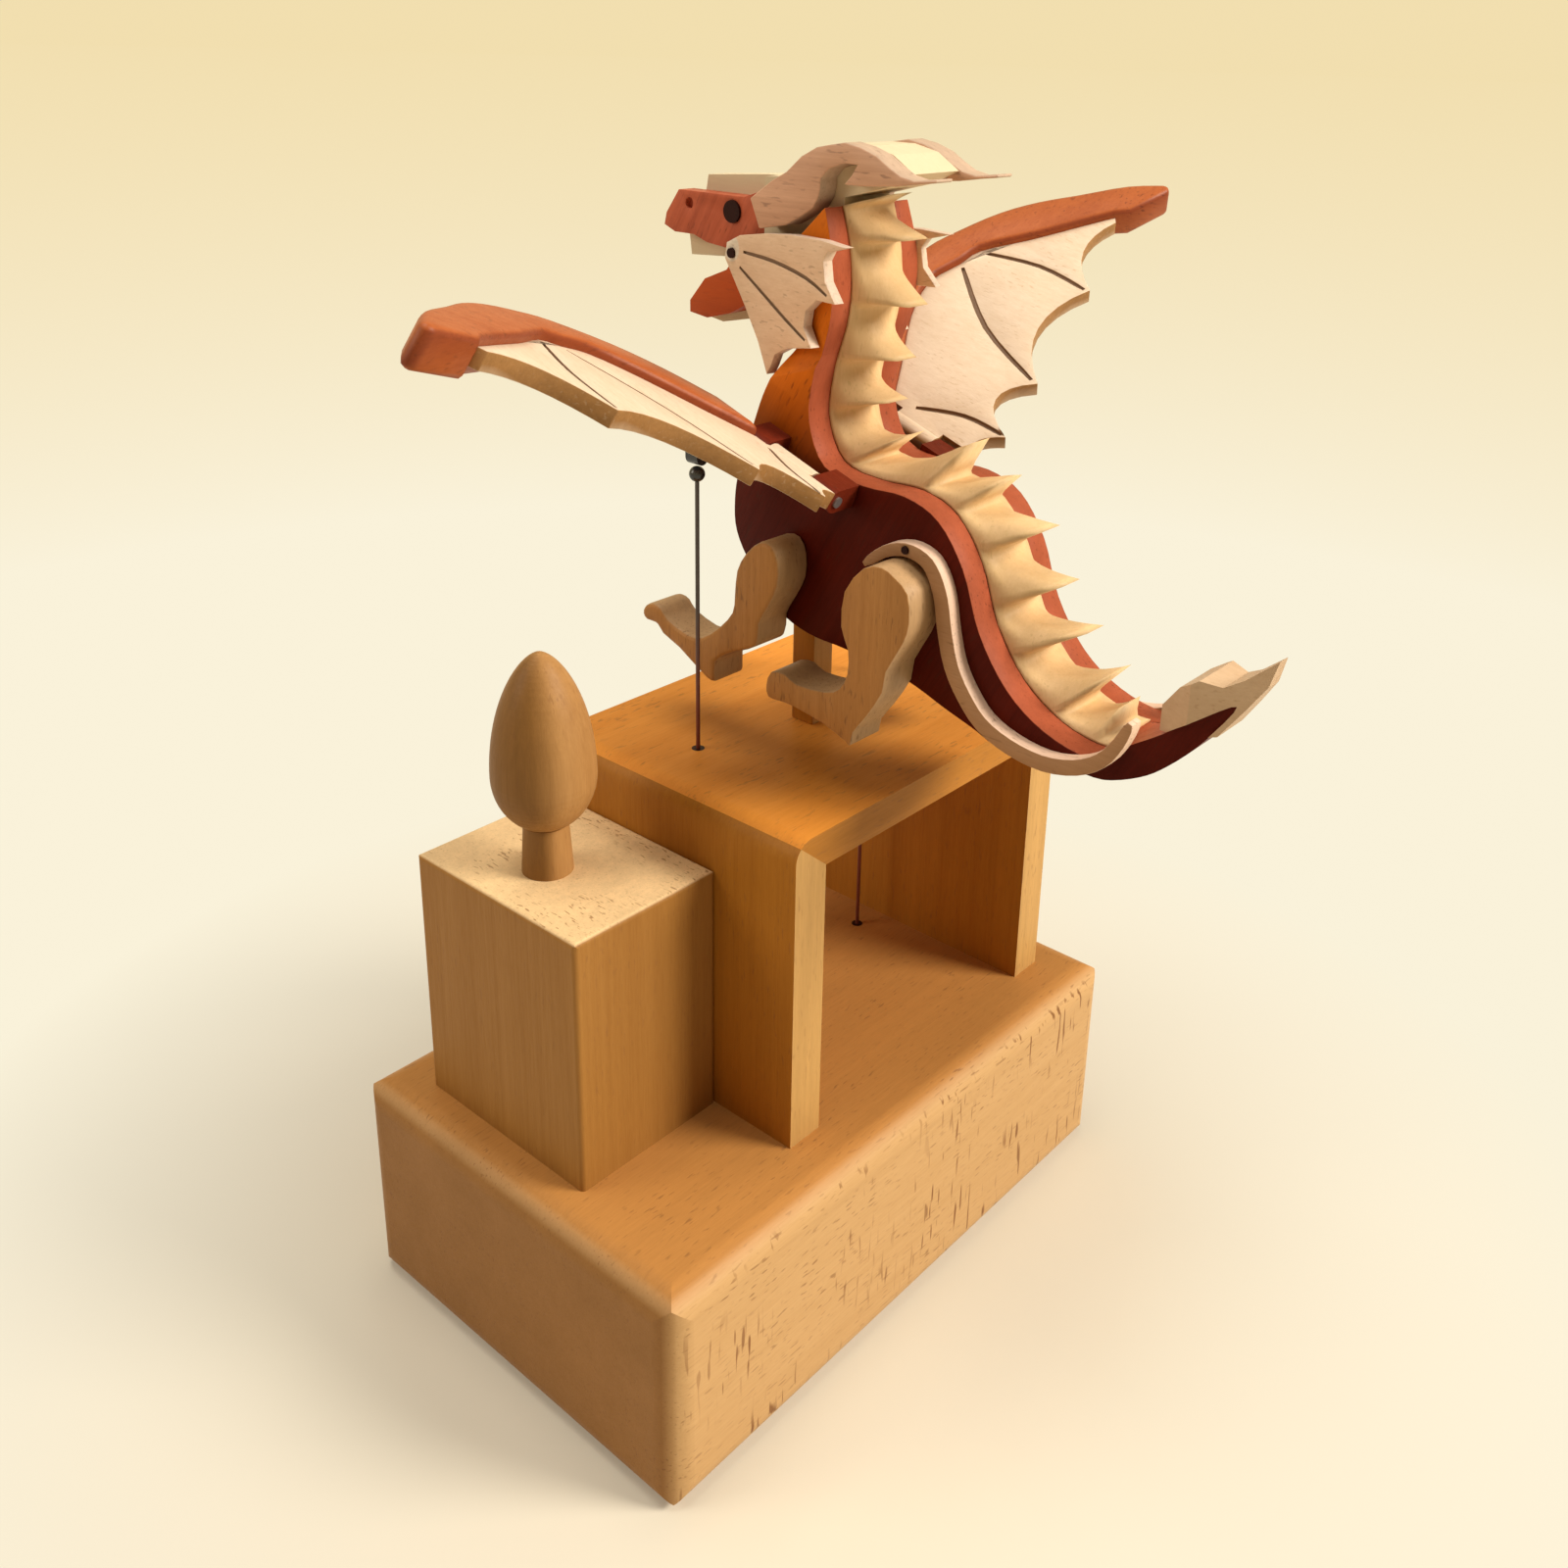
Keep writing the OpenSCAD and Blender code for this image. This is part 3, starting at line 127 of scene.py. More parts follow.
def noise(tree, vector, scale, detail, roughness=0.55):
    node = tree.nodes.new("ShaderNodeTexNoise")
    node.inputs["Scale"].default_value = scale
    node.inputs["Detail"].default_value = detail
    node.inputs["Roughness"].default_value = roughness
    tree.links.new(vector, node.inputs["Vector"])
    return node.outputs["Fac"]


def scaled(tree, vector, factors):
    node = tree.nodes.new("ShaderNodeVectorMath")
    node.operation = "MULTIPLY"
    node.inputs[1].default_value = factors
    tree.links.new(vector, node.inputs[0])
    return node.outputs["Vector"]


def seen_directly(tree):
    path = tree.nodes.new("ShaderNodeLightPath")
    mirrored = maths(tree, "MAXIMUM", path.outputs["Is Glossy Ray"], path.outputs["Is Transmission Ray"])
    return maths(tree, "MAXIMUM", path.outputs["Is Camera Ray"], mirrored)


# %% [markdown]
# ## Floor, lamps and world
# The photograph has a cream sweep with no horizon. A wide disc stands in for it. Close to the object the
# disc is partly lit, so the soft shadow falls on it. Farther away it is shown in a colour of its own, which
# runs into the same colour of the world. That shown cream is brighter near the middle and duller far out,
# a painted pool of light on the sweep.

# %% Cream floor
# The near cream is brighter than the far cream: a painted pool of light fading out across the sweep.
FAR_CREAM = (0.885, 0.735, 0.43)
NEAR_CREAM = (0.955, 0.885, 0.70)
LIT_CREAM = (0.70, 0.63, 0.50)
CREAM_NEARNESS = (0.05, 2.2)
LIT_FROM, LIT_TO, LEAST_SHOWN = 0.07, 0.17, 0.15
FLOOR_RADIUS = 12


def cream_floor():
    bm = bmesh.new()
    bmesh.ops.create_circle(bm, cap_ends=True, segments=96, radius=FLOOR_RADIUS)
    mesh = bpy.data.meshes.new("floor")
    bm.to_mesh(mesh)
    bm.free()
    floor = bpy.data.objects.new("floor", mesh)
    scene.collection.objects.link(floor)
    cloth = bpy.data.materials.new("cream_sweep")
    cloth.use_nodes = True
    tree = cloth.node_tree
    tree.nodes.clear()
    place = tree.nodes.new("ShaderNodeTexCoord")
    far = tree.nodes.new("ShaderNodeVectorMath")
    far.operation = "LENGTH"
    tree.links.new(place.outputs["Object"], far.inputs[0])
    nearness = maths(tree, "DIVIDE", 1.0, far.outputs["Value"])
    tone = mixed(tree, span(tree, nearness, *CREAM_NEARNESS), FAR_CREAM, NEAR_CREAM)
    lit = tree.nodes.new("ShaderNodeBsdfDiffuse")
    lit.inputs["Color"].default_value = (*LIT_CREAM, 1)
    shown = tree.nodes.new("ShaderNodeEmission")
    tree.links.new(tone, shown.inputs["Color"])
    own_colour = span(tree, far.outputs["Value"], LIT_FROM, LIT_TO, LEAST_SHOWN, 1.0)
    share = maths(tree, "MULTIPLY", own_colour, seen_directly(tree))
    mix = tree.nodes.new("ShaderNodeMixShader")
    tree.links.new(share, mix.inputs[0])
    tree.links.new(lit.outputs["BSDF"], mix.inputs[1])
    tree.links.new(shown.outputs["Emission"], mix.inputs[2])
    out = tree.nodes.new("ShaderNodeOutputMaterial")
    tree.links.new(mix.outputs["Shader"], out.inputs["Surface"])
    mesh.materials.append(cloth)


cream_floor()
print("floor laid")

# %% Lamps
# The light falls from the front right and from above. A weaker one from behind on the left lights the
# crest and the tower's left side, and leaves the corner between the tower and the stage dark.


def area_lamp(name, place, target, size, watts, colour):
    data = bpy.data.lights.new(name, "AREA")
    data.shape = "DISK"
    data.size = size
    data.energy = watts
    data.color = colour
    lamp = bpy.data.objects.new(name, data)
    lamp.location = place
    lamp.rotation_euler = (Vector(target) - Vector(place)).to_track_quat("-Z", "Y").to_euler()
    scene.collection.objects.link(lamp)


middle = (0.0, 0.0, 0.09)
area_lamp("key", (0.42, -0.78, 0.68), middle, 0.45, 14.5, (1.0, 0.94, 0.85))
area_lamp("top", (-0.1, 0.1, 1.0), middle, 0.6, 5.0, (1.0, 0.95, 0.88))
area_lamp("back_left", (-0.7, 0.5, 0.55), middle, 0.5, 3.0, (1.0, 0.92, 0.8))
print("lamps:", len(bpy.data.lights))

# %% World
world = bpy.data.worlds.new("studio")
world.use_nodes = True
scene.world = world
sky = world.node_tree
sky.nodes.clear()
ambient = sky.nodes.new("ShaderNodeBackground")
ambient.inputs["Color"].default_value = (1.0, 0.86, 0.64, 1)
ambient.inputs["Strength"].default_value = 0.16
wall = sky.nodes.new("ShaderNodeBackground")
wall.inputs["Color"].default_value = (*FAR_CREAM, 1)
wall.inputs["Strength"].default_value = 1.0
sky_mix = sky.nodes.new("ShaderNodeMixShader")
sky.links.new(seen_directly(sky), sky_mix.inputs[0])
sky.links.new(ambient.outputs["Background"], sky_mix.inputs[1])
sky.links.new(wall.outputs["Background"], sky_mix.inputs[2])
sky_out = sky.nodes.new("ShaderNodeOutputWorld")
sky.links.new(sky_mix.outputs["Shader"], sky_out.inputs["Surface"])
scene.view_settings.view_transform = "Standard"
print("world:", world.name)

# %% [markdown]
# ## One wood figure for every wood
# Every wood here shows the same four things: broad bands of tone, growth streaks, fine fibres, and short
# dark flecks or pores. They run along the grain, so the pattern is made once as a node group, on
# millimetre coordinates whose X runs along the grain. Each wood then gives its own strengths and colours.

# %% The wood figure group
FLECK_DEPTH = 0.8
STRENGTHS = {"Bands": 0.8, "Streaks": 0.5, "Fibres": 0.5, "Fleck Amount": 0.4}


def add_socket(group, name, kind, side, value=None):
    socket = group.interface.new_socket(name=name, in_out=side, socket_type=kind)
    if value is not None:
        socket.default_value = value


def wood_figure_group():
    group = bpy.data.node_groups.new("wood_figure", "ShaderNodeTree")
    add_socket(group, "Grain", "NodeSocketVector", "INPUT")
    for name, value in STRENGTHS.items():
        add_socket(group, name, "NodeSocketFloat", "INPUT", value)
    for name in ("Tone", "Flecks", "Height"):
        add_socket(group, name, "NodeSocketFloat", "OUTPUT")
    given = group.nodes.new("NodeGroupInput")
    out = group.nodes.new("NodeGroupOutput")
    grain = given.outputs["Grain"]

    bands = noise(group, scaled(group, grain, (0.06, 1, 1)), 0.13, 2)
    streaks = noise(group, scaled(group, grain, (0.02, 1, 1)), 0.8, 3, 0.6)
    fibres = noise(group, scaled(group, grain, (0.07, 1, 1)), 3.2, 3, 0.7)
    dashes = span(group, noise(group, scaled(group, grain, (0.2, 1, 1)), 2.1, 1, 0.4), 0.63, 0.72)
    clusters = span(group, noise(group, scaled(group, grain, (0.5, 1, 1)), 0.12, 2), 0.4, 0.62, 0.3, 1.2)
    clustered = maths(group, "MULTIPLY", dashes, clusters)
    flecks = maths(group, "MINIMUM", 1.0, maths(group, "MULTIPLY", clustered, given.outputs["Fleck Amount"]))
    tone = 0.5
    for part, name in ((bands, "Bands"), (streaks, "Streaks"), (fibres, "Fibres")):
        swing = maths(group, "SUBTRACT", part, 0.5)
        tone = maths(group, "ADD", tone, maths(group, "MULTIPLY", swing, given.outputs[name]))
    group.links.new(span(group, tone, 0.0, 1.0), out.inputs["Tone"])
    group.links.new(flecks, out.inputs["Flecks"])
    pits = maths(group, "MULTIPLY", FLECK_DEPTH, flecks)
    group.links.new(maths(group, "SUBTRACT", fibres, pits), out.inputs["Height"])
    return group


WOOD_FIGURE = wood_figure_group()
print("wood figure nodes:", len(WOOD_FIGURE.nodes))

# %% [markdown]
# ## Masks for faces and places
# A sawn layer looks different on its face and on its edge, and the object's own normal tells the two apart.
# Most woods below also use this mask for painted light and shade: faces and edges turned to the lamps get a
# painted lighter colour, and faces turned away from them or downward get a painted darker one. Two more
# masks
# use the place on the object: one runs along an axis, the other lies round a point seen from the side.

# %% Three masks


def facing(tree, axis, start, end, both_ways=True):
    place = tree.nodes.new("ShaderNodeTexCoord")
    parts = tree.nodes.new("ShaderNodeSeparateXYZ")
    tree.links.new(place.outputs["Normal"], parts.inputs[0])
    amount = parts.outputs[axis]
    if both_ways:
        amount = maths(tree, "ABSOLUTE", amount, 0.0)
    return span(tree, amount, start, end)


def along(tree, axis, start_mm, end_mm):
    place = tree.nodes.new("ShaderNodeTexCoord")
    parts = tree.nodes.new("ShaderNodeSeparateXYZ")
    tree.links.new(place.outputs["Object"], parts.inputs[0])
    return span(tree, parts.outputs[axis], start_mm * MM, end_mm * MM)


def round_point(tree, point_mm, inner_mm, outer_mm):
    place = tree.nodes.new("ShaderNodeTexCoord")
    flat = scaled(tree, place.outputs["Object"], (0, PER_METRE, PER_METRE))
    away = tree.nodes.new("ShaderNodeVectorMath")
    away.operation = "DISTANCE"
    tree.links.new(flat, away.inputs[0])
    away.inputs[1].default_value = (0, *point_mm)
    return span(tree, away.outputs["Value"], outer_mm, inner_mm)


# %% [markdown]
# ## The woods
# A wood is two colours mixed by the figure's tone, a darker colour in its flecks, and a thin satin oil
# finish. The grain direction is turned per piece with a Mapping node: a tower is sawn upright, a base
# lies along its length. Extra colours go on through the masks, each with a share of the tone so the
# figure still shows. Many of these extra colours are painted light or painted shade, noted at each wood that
# has them.

# %% A function for one wood
DIMMED = 0.72
ALONG_X = (0, 0, 0)
ALONG_Y = (0, 0, math.radians(-90))
ALONG_Z = (0, math.radians(90), 0)
SLOPING = (math.radians(60), 0, math.radians(-90))


def figure(tree, grain, shift, strengths):
    place = tree.nodes.new("ShaderNodeTexCoord")
    mapping = tree.nodes.new("ShaderNodeMapping")
    mapping.inputs["Scale"].default_value = (PER_METRE, PER_METRE, PER_METRE)
    mapping.inputs["Rotation"].default_value = grain
    mapping.inputs["Location"].default_value = shift
    tree.links.new(place.outputs["Object"], mapping.inputs["Vector"])
    node = tree.nodes.new("ShaderNodeGroup")
    node.node_tree = WOOD_FIGURE
    for name, value in zip(STRENGTHS, strengths):
        node.inputs[name].default_value = value
    tree.links.new(mapping.outputs["Vector"], node.inputs["Grain"])
    return node


def add_relief(tree, height, strength, depth):
    relief = tree.nodes.new("ShaderNodeBump")
    relief.inputs["Strength"].default_value = strength
    relief.inputs["Distance"].default_value = depth
    tree.links.new(height, relief.inputs["Height"])
    tree.links.new(relief.outputs["Normal"], tree.nodes["Principled BSDF"].inputs["Normal"])


def wood(name, light, deep, fleck, grain, shift=(0, 0, 0), strengths=(0.8, 0.5, 0.5, 0.4),
         rough=(0.4, 0.56), gloss=0.16, extras=()):
    material = bpy.data.materials.new(name)
    material.use_nodes = True
    tree = material.node_tree
    shader = tree.nodes["Principled BSDF"]
    shader.inputs["Specular IOR Level"].default_value = gloss
    node = figure(tree, grain, shift, strengths)
    colour = mixed(tree, node.outputs["Tone"], light, deep)
    for mask, numbers, extra in extras:
        toned = mixed(tree, node.outputs["Tone"], extra, tuple(DIMMED * c for c in extra))
        colour = mixed(tree, mask(tree, *numbers), colour, toned)
    colour = mixed(tree, node.outputs["Flecks"], colour, fleck)
    tree.links.new(colour, shader.inputs["Base Color"])
    tree.links.new(span(tree, node.outputs["Tone"], 0, 1, *rough), shader.inputs["Roughness"])
    add_relief(tree, node.outputs["Height"], strength=0.2, depth=0.15 * MM)


# %% Beech for the base, tower, stage and tree
BEECH_FLECK = (0.21, 0.09, 0.03)
# The top is painted darker and more orange than the front: painted shade. The ends are darker still: partly
# end grain, partly painted shade on the side turned from the lamps.
wood("beech_base", (0.62, 0.38, 0.17), (0.50, 0.29, 0.115), BEECH_FLECK,
     ALONG_X, strengths=(0.7, 0.5, 0.9, 0.5),
     extras=[(facing, (2, 0.6, 0.9), (0.52, 0.235, 0.06)), (facing, (0, 0.6, 0.9), (0.36, 0.165, 0.045))])
# The tower's top is painted far lighter than its sides: painted light from above.
wood("beech_upright", (0.38, 0.178, 0.04), (0.29, 0.125, 0.025), BEECH_FLECK,
     ALONG_Z, (13, 7, 3), (0.9, 1.0, 0.9, 0.25),
     extras=[(facing, (2, 0.6, 0.85), (0.92, 0.64, 0.33))])
# Faces turned to the front and back, the walls' sawn edges, are painted lighter: painted light on the lit
# edges.
wood("beech_wall", (0.46, 0.185, 0.022), (0.35, 0.13, 0.013), BEECH_FLECK,
     ALONG_Z, (31, 17, 5), (0.9, 1.0, 0.9, 0.3),
     extras=[(facing, (1, 0.6, 0.85), (0.60, 0.34, 0.11))])
# The board is painted far lighter than its front and back faces: painted light on its top, lifting the part
# that lies in the dragon's shadow.
wood("beech_board", (0.80, 0.315, 0.046), (0.65, 0.23, 0.03), BEECH_FLECK,
     ALONG_X, (3, 27, 9), (0.9, 0.8, 0.9, 0.35),
     extras=[(facing, (1, 0.6, 0.85), (0.48, 0.19, 0.022))])
# Faces turned to the left are painted darker: painted shade on the side turned from the key light.
wood("beech_turned", (0.48, 0.255, 0.088), (0.34, 0.165, 0.05), BEECH_FLECK,
     ALONG_Z, (5, 3, 1), (1.3, 1.0, 0.8, 0.3),
     extras=[(facing, (0, -0.3, -0.75, False), (0.27, 0.125, 0.032))])
print("beech:", len(bpy.data.materials))

# %% [markdown]
# The base's front face crosses the grain's rays, so it carries long dark dashes standing upright in loose
# clusters, and the tower's top shows short dashes across. Both are the same dash pattern, stretched
# another way and masked to that face.

# %% Dashes across the grain


def add_dashes(name, stretch, scale, mask_numbers, dark):
    tree = bpy.data.materials[name].node_tree
    shader = tree.nodes["Principled BSDF"]
    plain = shader.inputs["Base Color"].links[0].from_socket
    place = tree.nodes.new("ShaderNodeTexCoord")
    in_mm = scaled(tree, place.outputs["Object"], (PER_METRE, PER_METRE, PER_METRE))
    dashes = span(tree, noise(tree, scaled(tree, in_mm, stretch), scale, 1, 0.4), 0.63, 0.7)
    clusters = span(tree, noise(tree, in_mm, 0.07, 1), 0.42, 0.6)
    clustered = maths(tree, "MULTIPLY", dashes, clusters)
    amount = maths(tree, "MULTIPLY", clustered, facing(tree, *mask_numbers))
    tree.links.new(mixed(tree, amount, plain, dark), shader.inputs["Base Color"])


add_dashes("beech_base", (1, 1, 0.13), 1.1, (1, 0.7, 0.9), (0.24, 0.105, 0.035))
add_dashes("beech_upright", (1, 0.25, 1), 2.6, (2, 0.7, 0.9), (0.42, 0.23, 0.10))

# %% Beech for the legs and haunch strips
# Sawn edges are painted lighter: painted light where they catch the lamps. Soles are darker: partly end
# grain, partly painted shade underneath.
wood("beech_leg", (0.47, 0.22, 0.065), (0.32, 0.135, 0.036), (0.16, 0.075, 0.03),
     ALONG_Z, (2, 8, 4), (0.9, 1.0, 0.9, 0.5),
     extras=[(facing, (0, 0.75, 0.45), (0.52, 0.32, 0.155)),
             (facing, (2, -0.7, -0.92, False), (0.17, 0.065, 0.03))])
# Sawn edges are painted much lighter than the faces: painted light on the lit edges.
wood("beech_strip", (0.43, 0.23, 0.11), (0.32, 0.16, 0.072), (0.14, 0.07, 0.035),
     ALONG_Y, (9, 1, 6), (0.9, 0.6, 0.8, 0.4),
     extras=[(facing, (0, 0.8, 0.5), (0.86, 0.59, 0.42))])

# %% Padauk for the dragon's flanks, head and wing bones
PADAUK_FLECK = (0.055, 0.012, 0.006)
# The flank's very dark red is the wood's colour darkened as painted shade under the wings. From 144 to 160
# mm up, the neck turns bright orange-red: painted light. Sawn edges take a lighter red than the flank:
# painted light on the rim. Faces turned down: painted shade.
wood("padauk_flank", (0.10, 0.008, 0.0025), (0.05, 0.004, 0.0015), PADAUK_FLECK, SLOPING,
     strengths=(1.4, 1.0, 0.8, 0.4), rough=(0.36, 0.5), gloss=0.06,
     extras=[(along, (2, 144, 160), (0.64, 0.152, 0.009)), (facing, (0, 0.8, 0.5), (0.39, 0.092, 0.04)),
             (facing, (2, -0.2, -0.7, False), (0.13, 0.016, 0.006))])
wood("padauk_bone", (0.43, 0.115, 0.03), (0.30, 0.068, 0.018), PADAUK_FLECK,
     ALONG_X, (4, 4, 4), (1.1, 1.0, 0.9, 0.4), (0.36, 0.5),
     extras=[(facing, (2, 0.6, 0.2), (0.27, 0.055, 0.016))])
# The hinge lugs are coloured as dark as the shade at the wing roots, so they pass for that shade: painted
# shade.
wood("padauk_lug", (0.16, 0.02, 0.007), (0.09, 0.011, 0.004), PADAUK_FLECK,
     ALONG_Y, (2, 7, 5), (1.1, 1.0, 0.8, 0.4), gloss=0.08)
wood("padauk_head", (0.55, 0.125, 0.055), (0.35, 0.07, 0.03), (0.10, 0.022, 0.013),
     SLOPING, (6, 2, 7), (1.2, 1.6, 0.8, 0.5))
wood("padauk_jaw", (0.48, 0.075, 0.009), (0.36, 0.05, 0.006), PADAUK_FLECK,
     ALONG_Y, (3, 5, 1), (0.9, 0.6, 0.5, 0.2))
print("padauk done")

# %% Pale woods for the membranes, crest, head core, horns and frills
wood("maple_wing", (0.71, 0.56, 0.41), (0.62, 0.46, 0.31), (0.46, 0.30, 0.17),
     ALONG_Y, (7, 9, 2), (0.8, 1.4, 1.0, 0.4),
     extras=[(facing, (2, 0.75, 0.4), (0.36, 0.18, 0.06))])
wood("boxwood_crest", (0.76, 0.53, 0.28), (0.62, 0.40, 0.18), (0.42, 0.27, 0.10),
     ALONG_Z, (1, 6, 3), (0.9, 0.8, 0.8, 0.25))
wood("pale_core", (0.72, 0.60, 0.40), (0.62, 0.50, 0.31), (0.50, 0.36, 0.17),
     ALONG_Y, (4, 2, 6), (0.7, 0.5, 0.4, 0.15))
wood("maple_tail", (0.60, 0.42, 0.26), (0.48, 0.31, 0.175), (0.32, 0.18, 0.08),
     ALONG_Y, (6, 1, 3), (0.9, 0.9, 0.6, 0.3))
wood("rosy_horn", (0.70, 0.41, 0.26), (0.48, 0.26, 0.155), (0.17, 0.085, 0.055),
     ALONG_Y, (8, 3, 2), (0.9, 1.1, 0.7, 0.4),
     extras=[(facing, (0, 0.8, 0.5), (0.56, 0.39, 0.27))])
wood("rosy_frill", (0.77, 0.55, 0.36), (0.64, 0.42, 0.26), (0.29, 0.165, 0.10),
     ALONG_Y, (2, 5, 8), (0.8, 1.1, 1.0, 0.4),
     extras=[(facing, (0, 0.75, 0.45), (0.74, 0.56, 0.42)),
             (round_point, ((12.5, 177.3), 2.0, 2.3), (0.82, 0.69, 0.53))])
wood("ebony", (0.035, 0.008, 0.006), (0.016, 0.005, 0.004), (0.008, 0.004, 0.003),
     ALONG_X, strengths=(0.8, 0.5, 0.5, 0.3),
     rough=(0.3, 0.42), gloss=0.08)
wood("finger_line", (0.32, 0.20, 0.12), (0.22, 0.13, 0.075), (0.04, 0.02, 0.012),
     ALONG_Y, strengths=(0.8, 0.6, 0.6, 0.3))
print("woods:", len(bpy.data.materials))

# %% [markdown]
# ## The metals and the black beads
# The movement is brass and steel. Turned and drawn metal carries fine lines, so one group gives scratches
# and a soft cloud of tarnish, and each metal sets its own colour. The beads on the push rods are black
# and softly glossy. The rods are dark wire that takes on a rusty tone near the stage.

# %% Metal finish group


def metal_finish_group():
    group = bpy.data.node_groups.new("metal_finish", "ShaderNodeTree")
    add_socket(group, "Place", "NodeSocketVector", "INPUT")
    add_socket(group, "Tarnish", "NodeSocketFloat", "OUTPUT")
    add_socket(group, "Scratches", "NodeSocketFloat", "OUTPUT")
    given, out = group.nodes.new("NodeGroupInput"), group.nodes.new("NodeGroupOutput")
    place = given.outputs["Place"]
    group.links.new(noise(group, place, 0.35, 4), out.inputs["Tarnish"])
    group.links.new(noise(group, scaled(group, place, (6, 0.4, 6)), 2.2, 3), out.inputs["Scratches"])
    return group


METAL_FINISH = metal_finish_group()


def metal(name, bright, dull, metallic, rough, extras=()):
    material = bpy.data.materials.new(name)
    material.use_nodes = True
    tree = material.node_tree
    shader = tree.nodes["Principled BSDF"]
    shader.inputs["Metallic"].default_value = metallic
    place = tree.nodes.new("ShaderNodeTexCoord")
    node = tree.nodes.new("ShaderNodeGroup")
    node.node_tree = METAL_FINISH
    in_mm = scaled(tree, place.outputs["Object"], (PER_METRE, PER_METRE, PER_METRE))
    tree.links.new(in_mm, node.inputs["Place"])
    colour = mixed(tree, node.outputs["Tarnish"], bright, dull)
    for mask, numbers, extra in extras:
        colour = mixed(tree, mask(tree, *numbers), colour, extra)
    tree.links.new(colour, shader.inputs["Base Color"])
    tree.links.new(span(tree, node.outputs["Scratches"], 0, 1, *rough), shader.inputs["Roughness"])
    add_relief(tree, node.outputs["Scratches"], strength=0.12, depth=0.1 * MM)


metal("brass", (0.80, 0.56, 0.22), (0.60, 0.38, 0.12), 1.0, (0.2, 0.4))
metal("steel", (0.42, 0.41, 0.40), (0.25, 0.24, 0.235), 1.0, (0.25, 0.45))
metal("rod_wire", (0.10, 0.085, 0.08), (0.055, 0.045, 0.04), 0.3, (0.35, 0.55),
      extras=[(along, (2, 122, 102), (0.17, 0.04, 0.025))])
metal("black_bead", (0.022, 0.02, 0.02), (0.012, 0.011, 0.011), 0.0, (0.3, 0.45))
print("metals done")

# %% [markdown]
# ## Dressing the solids
# Every solid gets the finish of its wood or metal. The list reads like a cutting list: finish first, then
# the pieces.

# %% Finish for every solid
FINISHES = {
    "beech_base": "base_block bottom_plate",
    "beech_upright": "tower_block",
    "beech_wall": "stage_left_wall stage_right_wall support_post",
    "beech_board": "stage_top",
    "beech_turned": "tree_trunk tree_crown crank_knob",
    "beech_leg": "left_front_leg right_front_leg left_hind_leg right_hind_leg",
    "beech_strip": "left_haunch_strip right_haunch_strip",
    "padauk_flank": "body_core left_side_plate right_side_plate",
    "padauk_bone": "left_wing_bone right_wing_bone",
    "padauk_lug": "hinge_lugs",
    "padauk_head": "left_cheek right_cheek",
    "padauk_jaw": "left_jaw right_jaw",
    "maple_wing": "left_wing_membrane right_wing_membrane",
    "maple_tail": "tail_spade",
    "boxwood_crest": "crest",
    "pale_core": "head_core crown_core jaw_core",
    "rosy_horn": "left_horn right_horn",
    "rosy_frill": "left_frill right_frill",
    "ebony": "dowels eyes rod_bushes",
    "brass": "crank_bush bedplate movement_brackets lift_cam drive_pinion music_cylinder "
             "cylinder_gear lift_beam plate_screws",
    "steel": "movement_screws comb hinge_pins crank_shaft crank_arm cylinder_arbor",
    "rod_wire": "push_rods",
    "black_bead": "rod_tips left_wing_lug right_wing_lug",
}
finish_of = {}
for finish, names in FINISHES.items():
    finish_of.update(dict.fromkeys(names.split(), bpy.data.materials[finish]))
for node, solid in frame["nodes"].items():
    solid.data.materials.clear()
    solid.data.materials.append(finish_of[node])
print("finished:", len(finish_of), "of", len(frame["nodes"]))

# %% [markdown]
# ## Breaking the sawn edges and darkening the finger grooves
# A fretsawn layer leaves the bench with its sharp edges sanded off. A copy of the solid is merged, its
# flat faces are joined up, and every edge sharper than forty degrees gets a small round bevel. The copy
# then stands for the solid. On the wings and frills the grooves are shallow cuts in the outer face, so a
# face that goes in, but not through, belongs to a groove. The crest keeps its thin fins and is only
# shaded smoothly, because its hollows are sanded round.

# %% Functions for one eased piece
MERGE_MM = 0.002
FLAT_DEGREES, SHARP_DEGREES = 0.5, 40
SHALLOWEST_GROOVE_MM, DEEPEST_GROOVE_SHARE = 0.05, 0.75
bodies = frame["record"]["behaviour"]["bodies"]
body_of_node = {node: body for body, names in bodies.items() for node in names}


def mark_grooves(bm, outward):
    flat = max((f for f in bm.faces if f.normal.dot(outward) > 0.5), key=lambda f: f.calc_area())
    depth = {v: (flat.verts[0].co - v.co).dot(flat.normal) for v in bm.verts}
    through = max(depth.values())
    count = 0
    for face in bm.faces:
        deepest = max(depth[v] for v in face.verts)
        if SHALLOWEST_GROOVE_MM * MM < deepest < DEEPEST_GROOVE_SHARE * through:
            face.material_index = 1
            count += 1
    return count


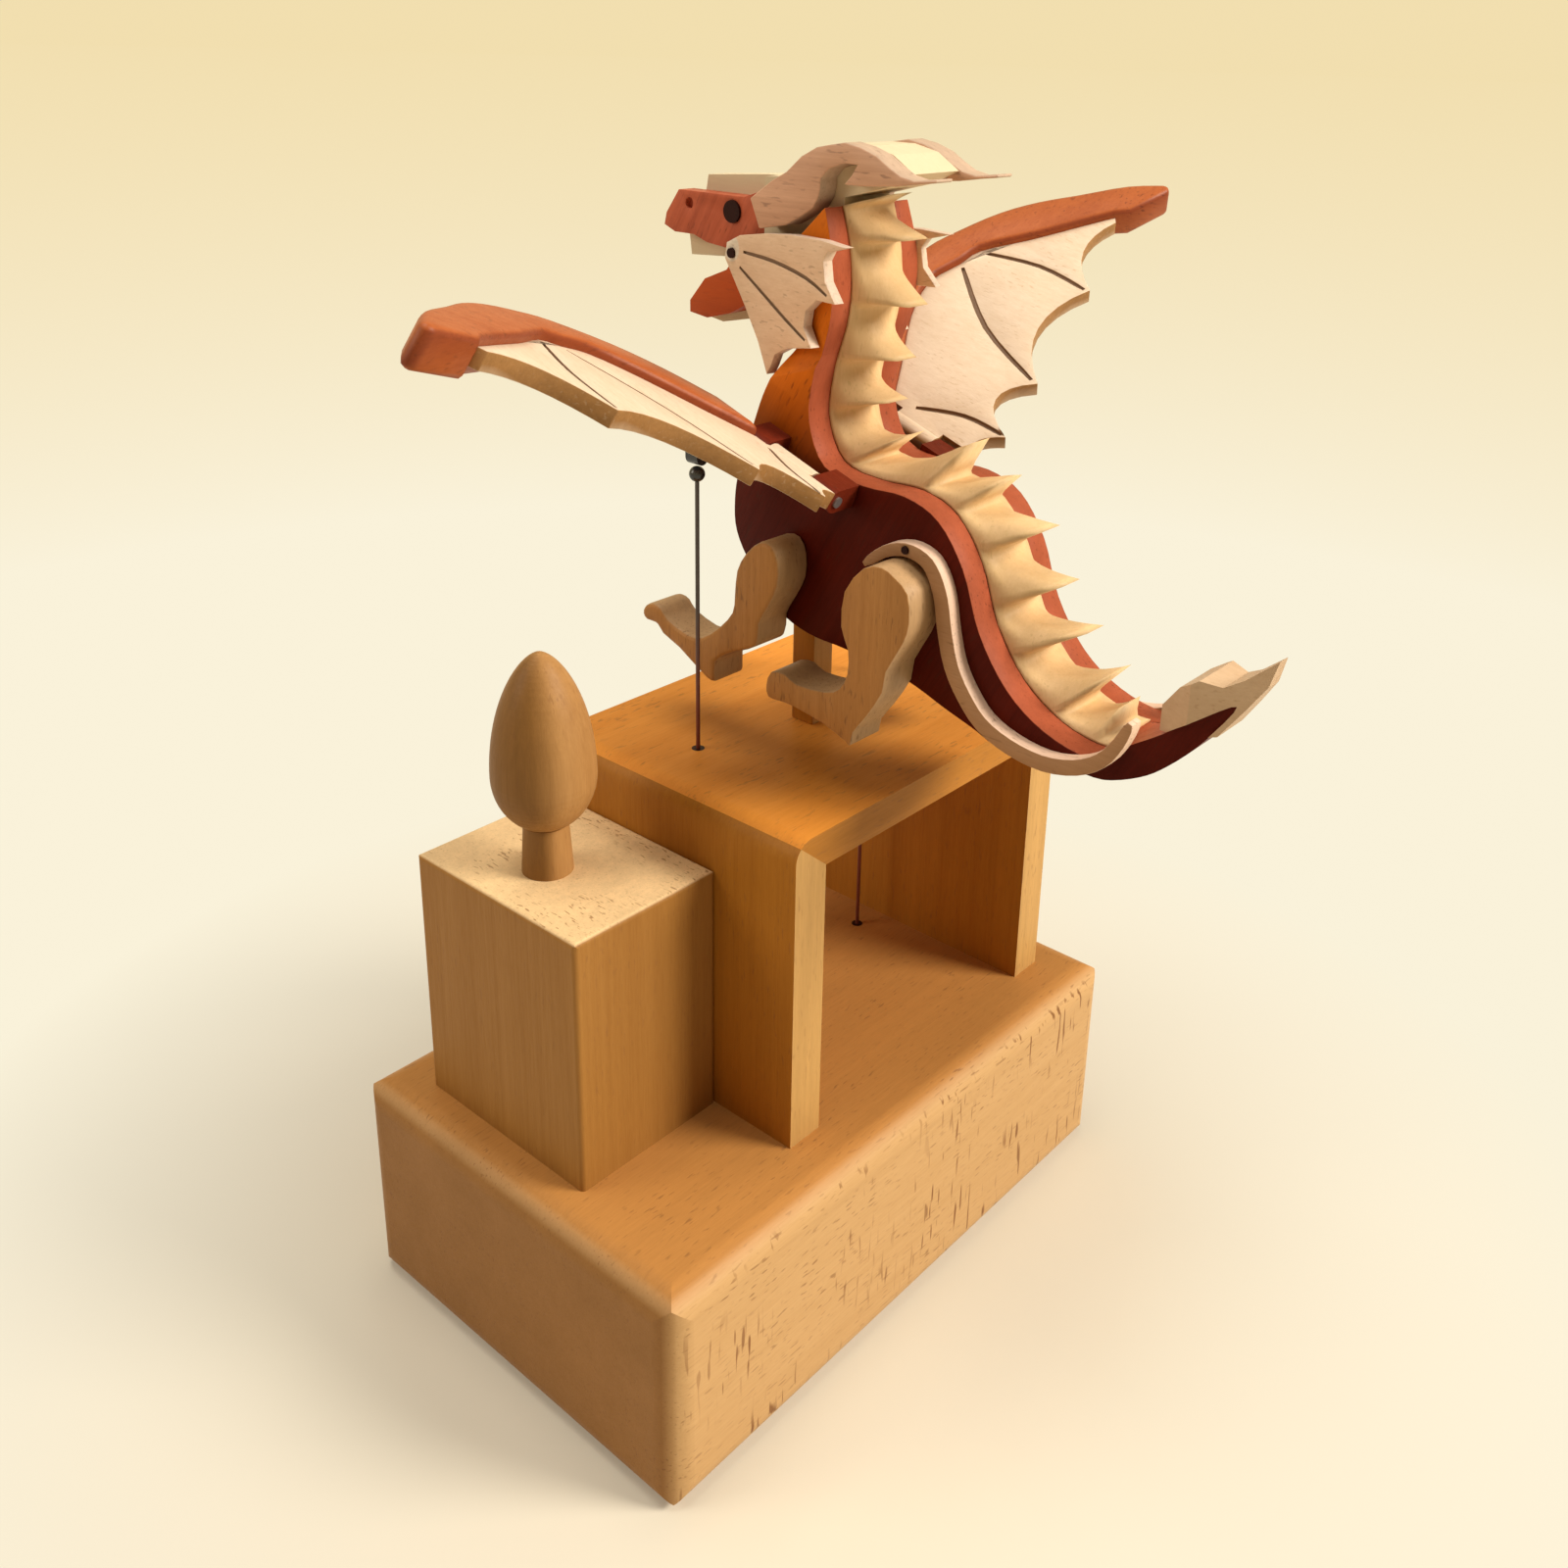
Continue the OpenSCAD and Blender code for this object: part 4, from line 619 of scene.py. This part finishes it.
def ease_edges(node, radius_mm, outward=None, crisp_degrees=30):
    mesh = frame["nodes"][node].data.copy()
    mesh.name = node + "_eased"
    bm = bmesh.new()
    bm.from_mesh(mesh)
    bmesh.ops.remove_doubles(bm, verts=bm.verts, dist=MERGE_MM * MM)
    bmesh.ops.dissolve_limit(bm, angle_limit=math.radians(FLAT_DEGREES), verts=bm.verts, edges=bm.edges)
    if outward:
        mesh.materials.append(bpy.data.materials["finger_line"])
        print(node, "groove faces:", mark_grooves(bm, Vector(outward)))
    if radius_mm:
        closed = [e for e in bm.edges if len(e.link_faces) == 2]
        sharp = [e for e in closed if e.calc_face_angle(0) > math.radians(SHARP_DEGREES)]
        bmesh.ops.bevel(bm, geom=sharp, offset=radius_mm * MM, offset_type="OFFSET", affect="EDGES",
                        segments=2, profile=0.5, clamp_overlap=True, material=-1)
    bmesh.ops.triangulate(bm, faces=bm.faces)
    bm.to_mesh(mesh)
    bm.free()
    mesh.polygons.foreach_set("use_smooth", [True] * len(mesh.polygons))
    mesh.set_sharp_from_angle(angle=math.radians(crisp_degrees))
    piece = bpy.data.objects.new(node + "_eased", mesh)
    scene.collection.objects.link(piece)
    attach(piece, body_of_node[node])
    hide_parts(node)
    return piece


# %% Eased pieces
RADIUS_MM = {
    "left_side_plate": 0.7, "right_side_plate": 0.7,
    "left_front_leg": 0.7, "right_front_leg": 0.7, "left_hind_leg": 0.7, "right_hind_leg": 0.7,
    "left_haunch_strip": 0.3, "right_haunch_strip": 0.3,
    "left_wing_bone": 0.9, "right_wing_bone": 0.9,
    "left_horn": 0.3, "right_horn": 0.3,
    "left_cheek": 0.4, "right_cheek": 0.4, "left_jaw": 0.4, "right_jaw": 0.4,
    "support_post": 0.3,
}
GROOVED_FACE = {
    "left_wing_membrane": (0, 0, 1), "right_wing_membrane": (0, 0, 1),
    "left_frill": (-1, 0, 0), "right_frill": (1, 0, 0),
}
GROOVED_RADIUS_MM = 0.15
eased = [ease_edges(node, radius) for node, radius in RADIUS_MM.items()]
eased += [ease_edges(node, GROOVED_RADIUS_MM, outward) for node, outward in GROOVED_FACE.items()]
eased.append(ease_edges("crest", 0, crisp_degrees=48))
print("eased pieces:", len(eased), "faces:", sum(len(p.data.polygons) for p in eased))
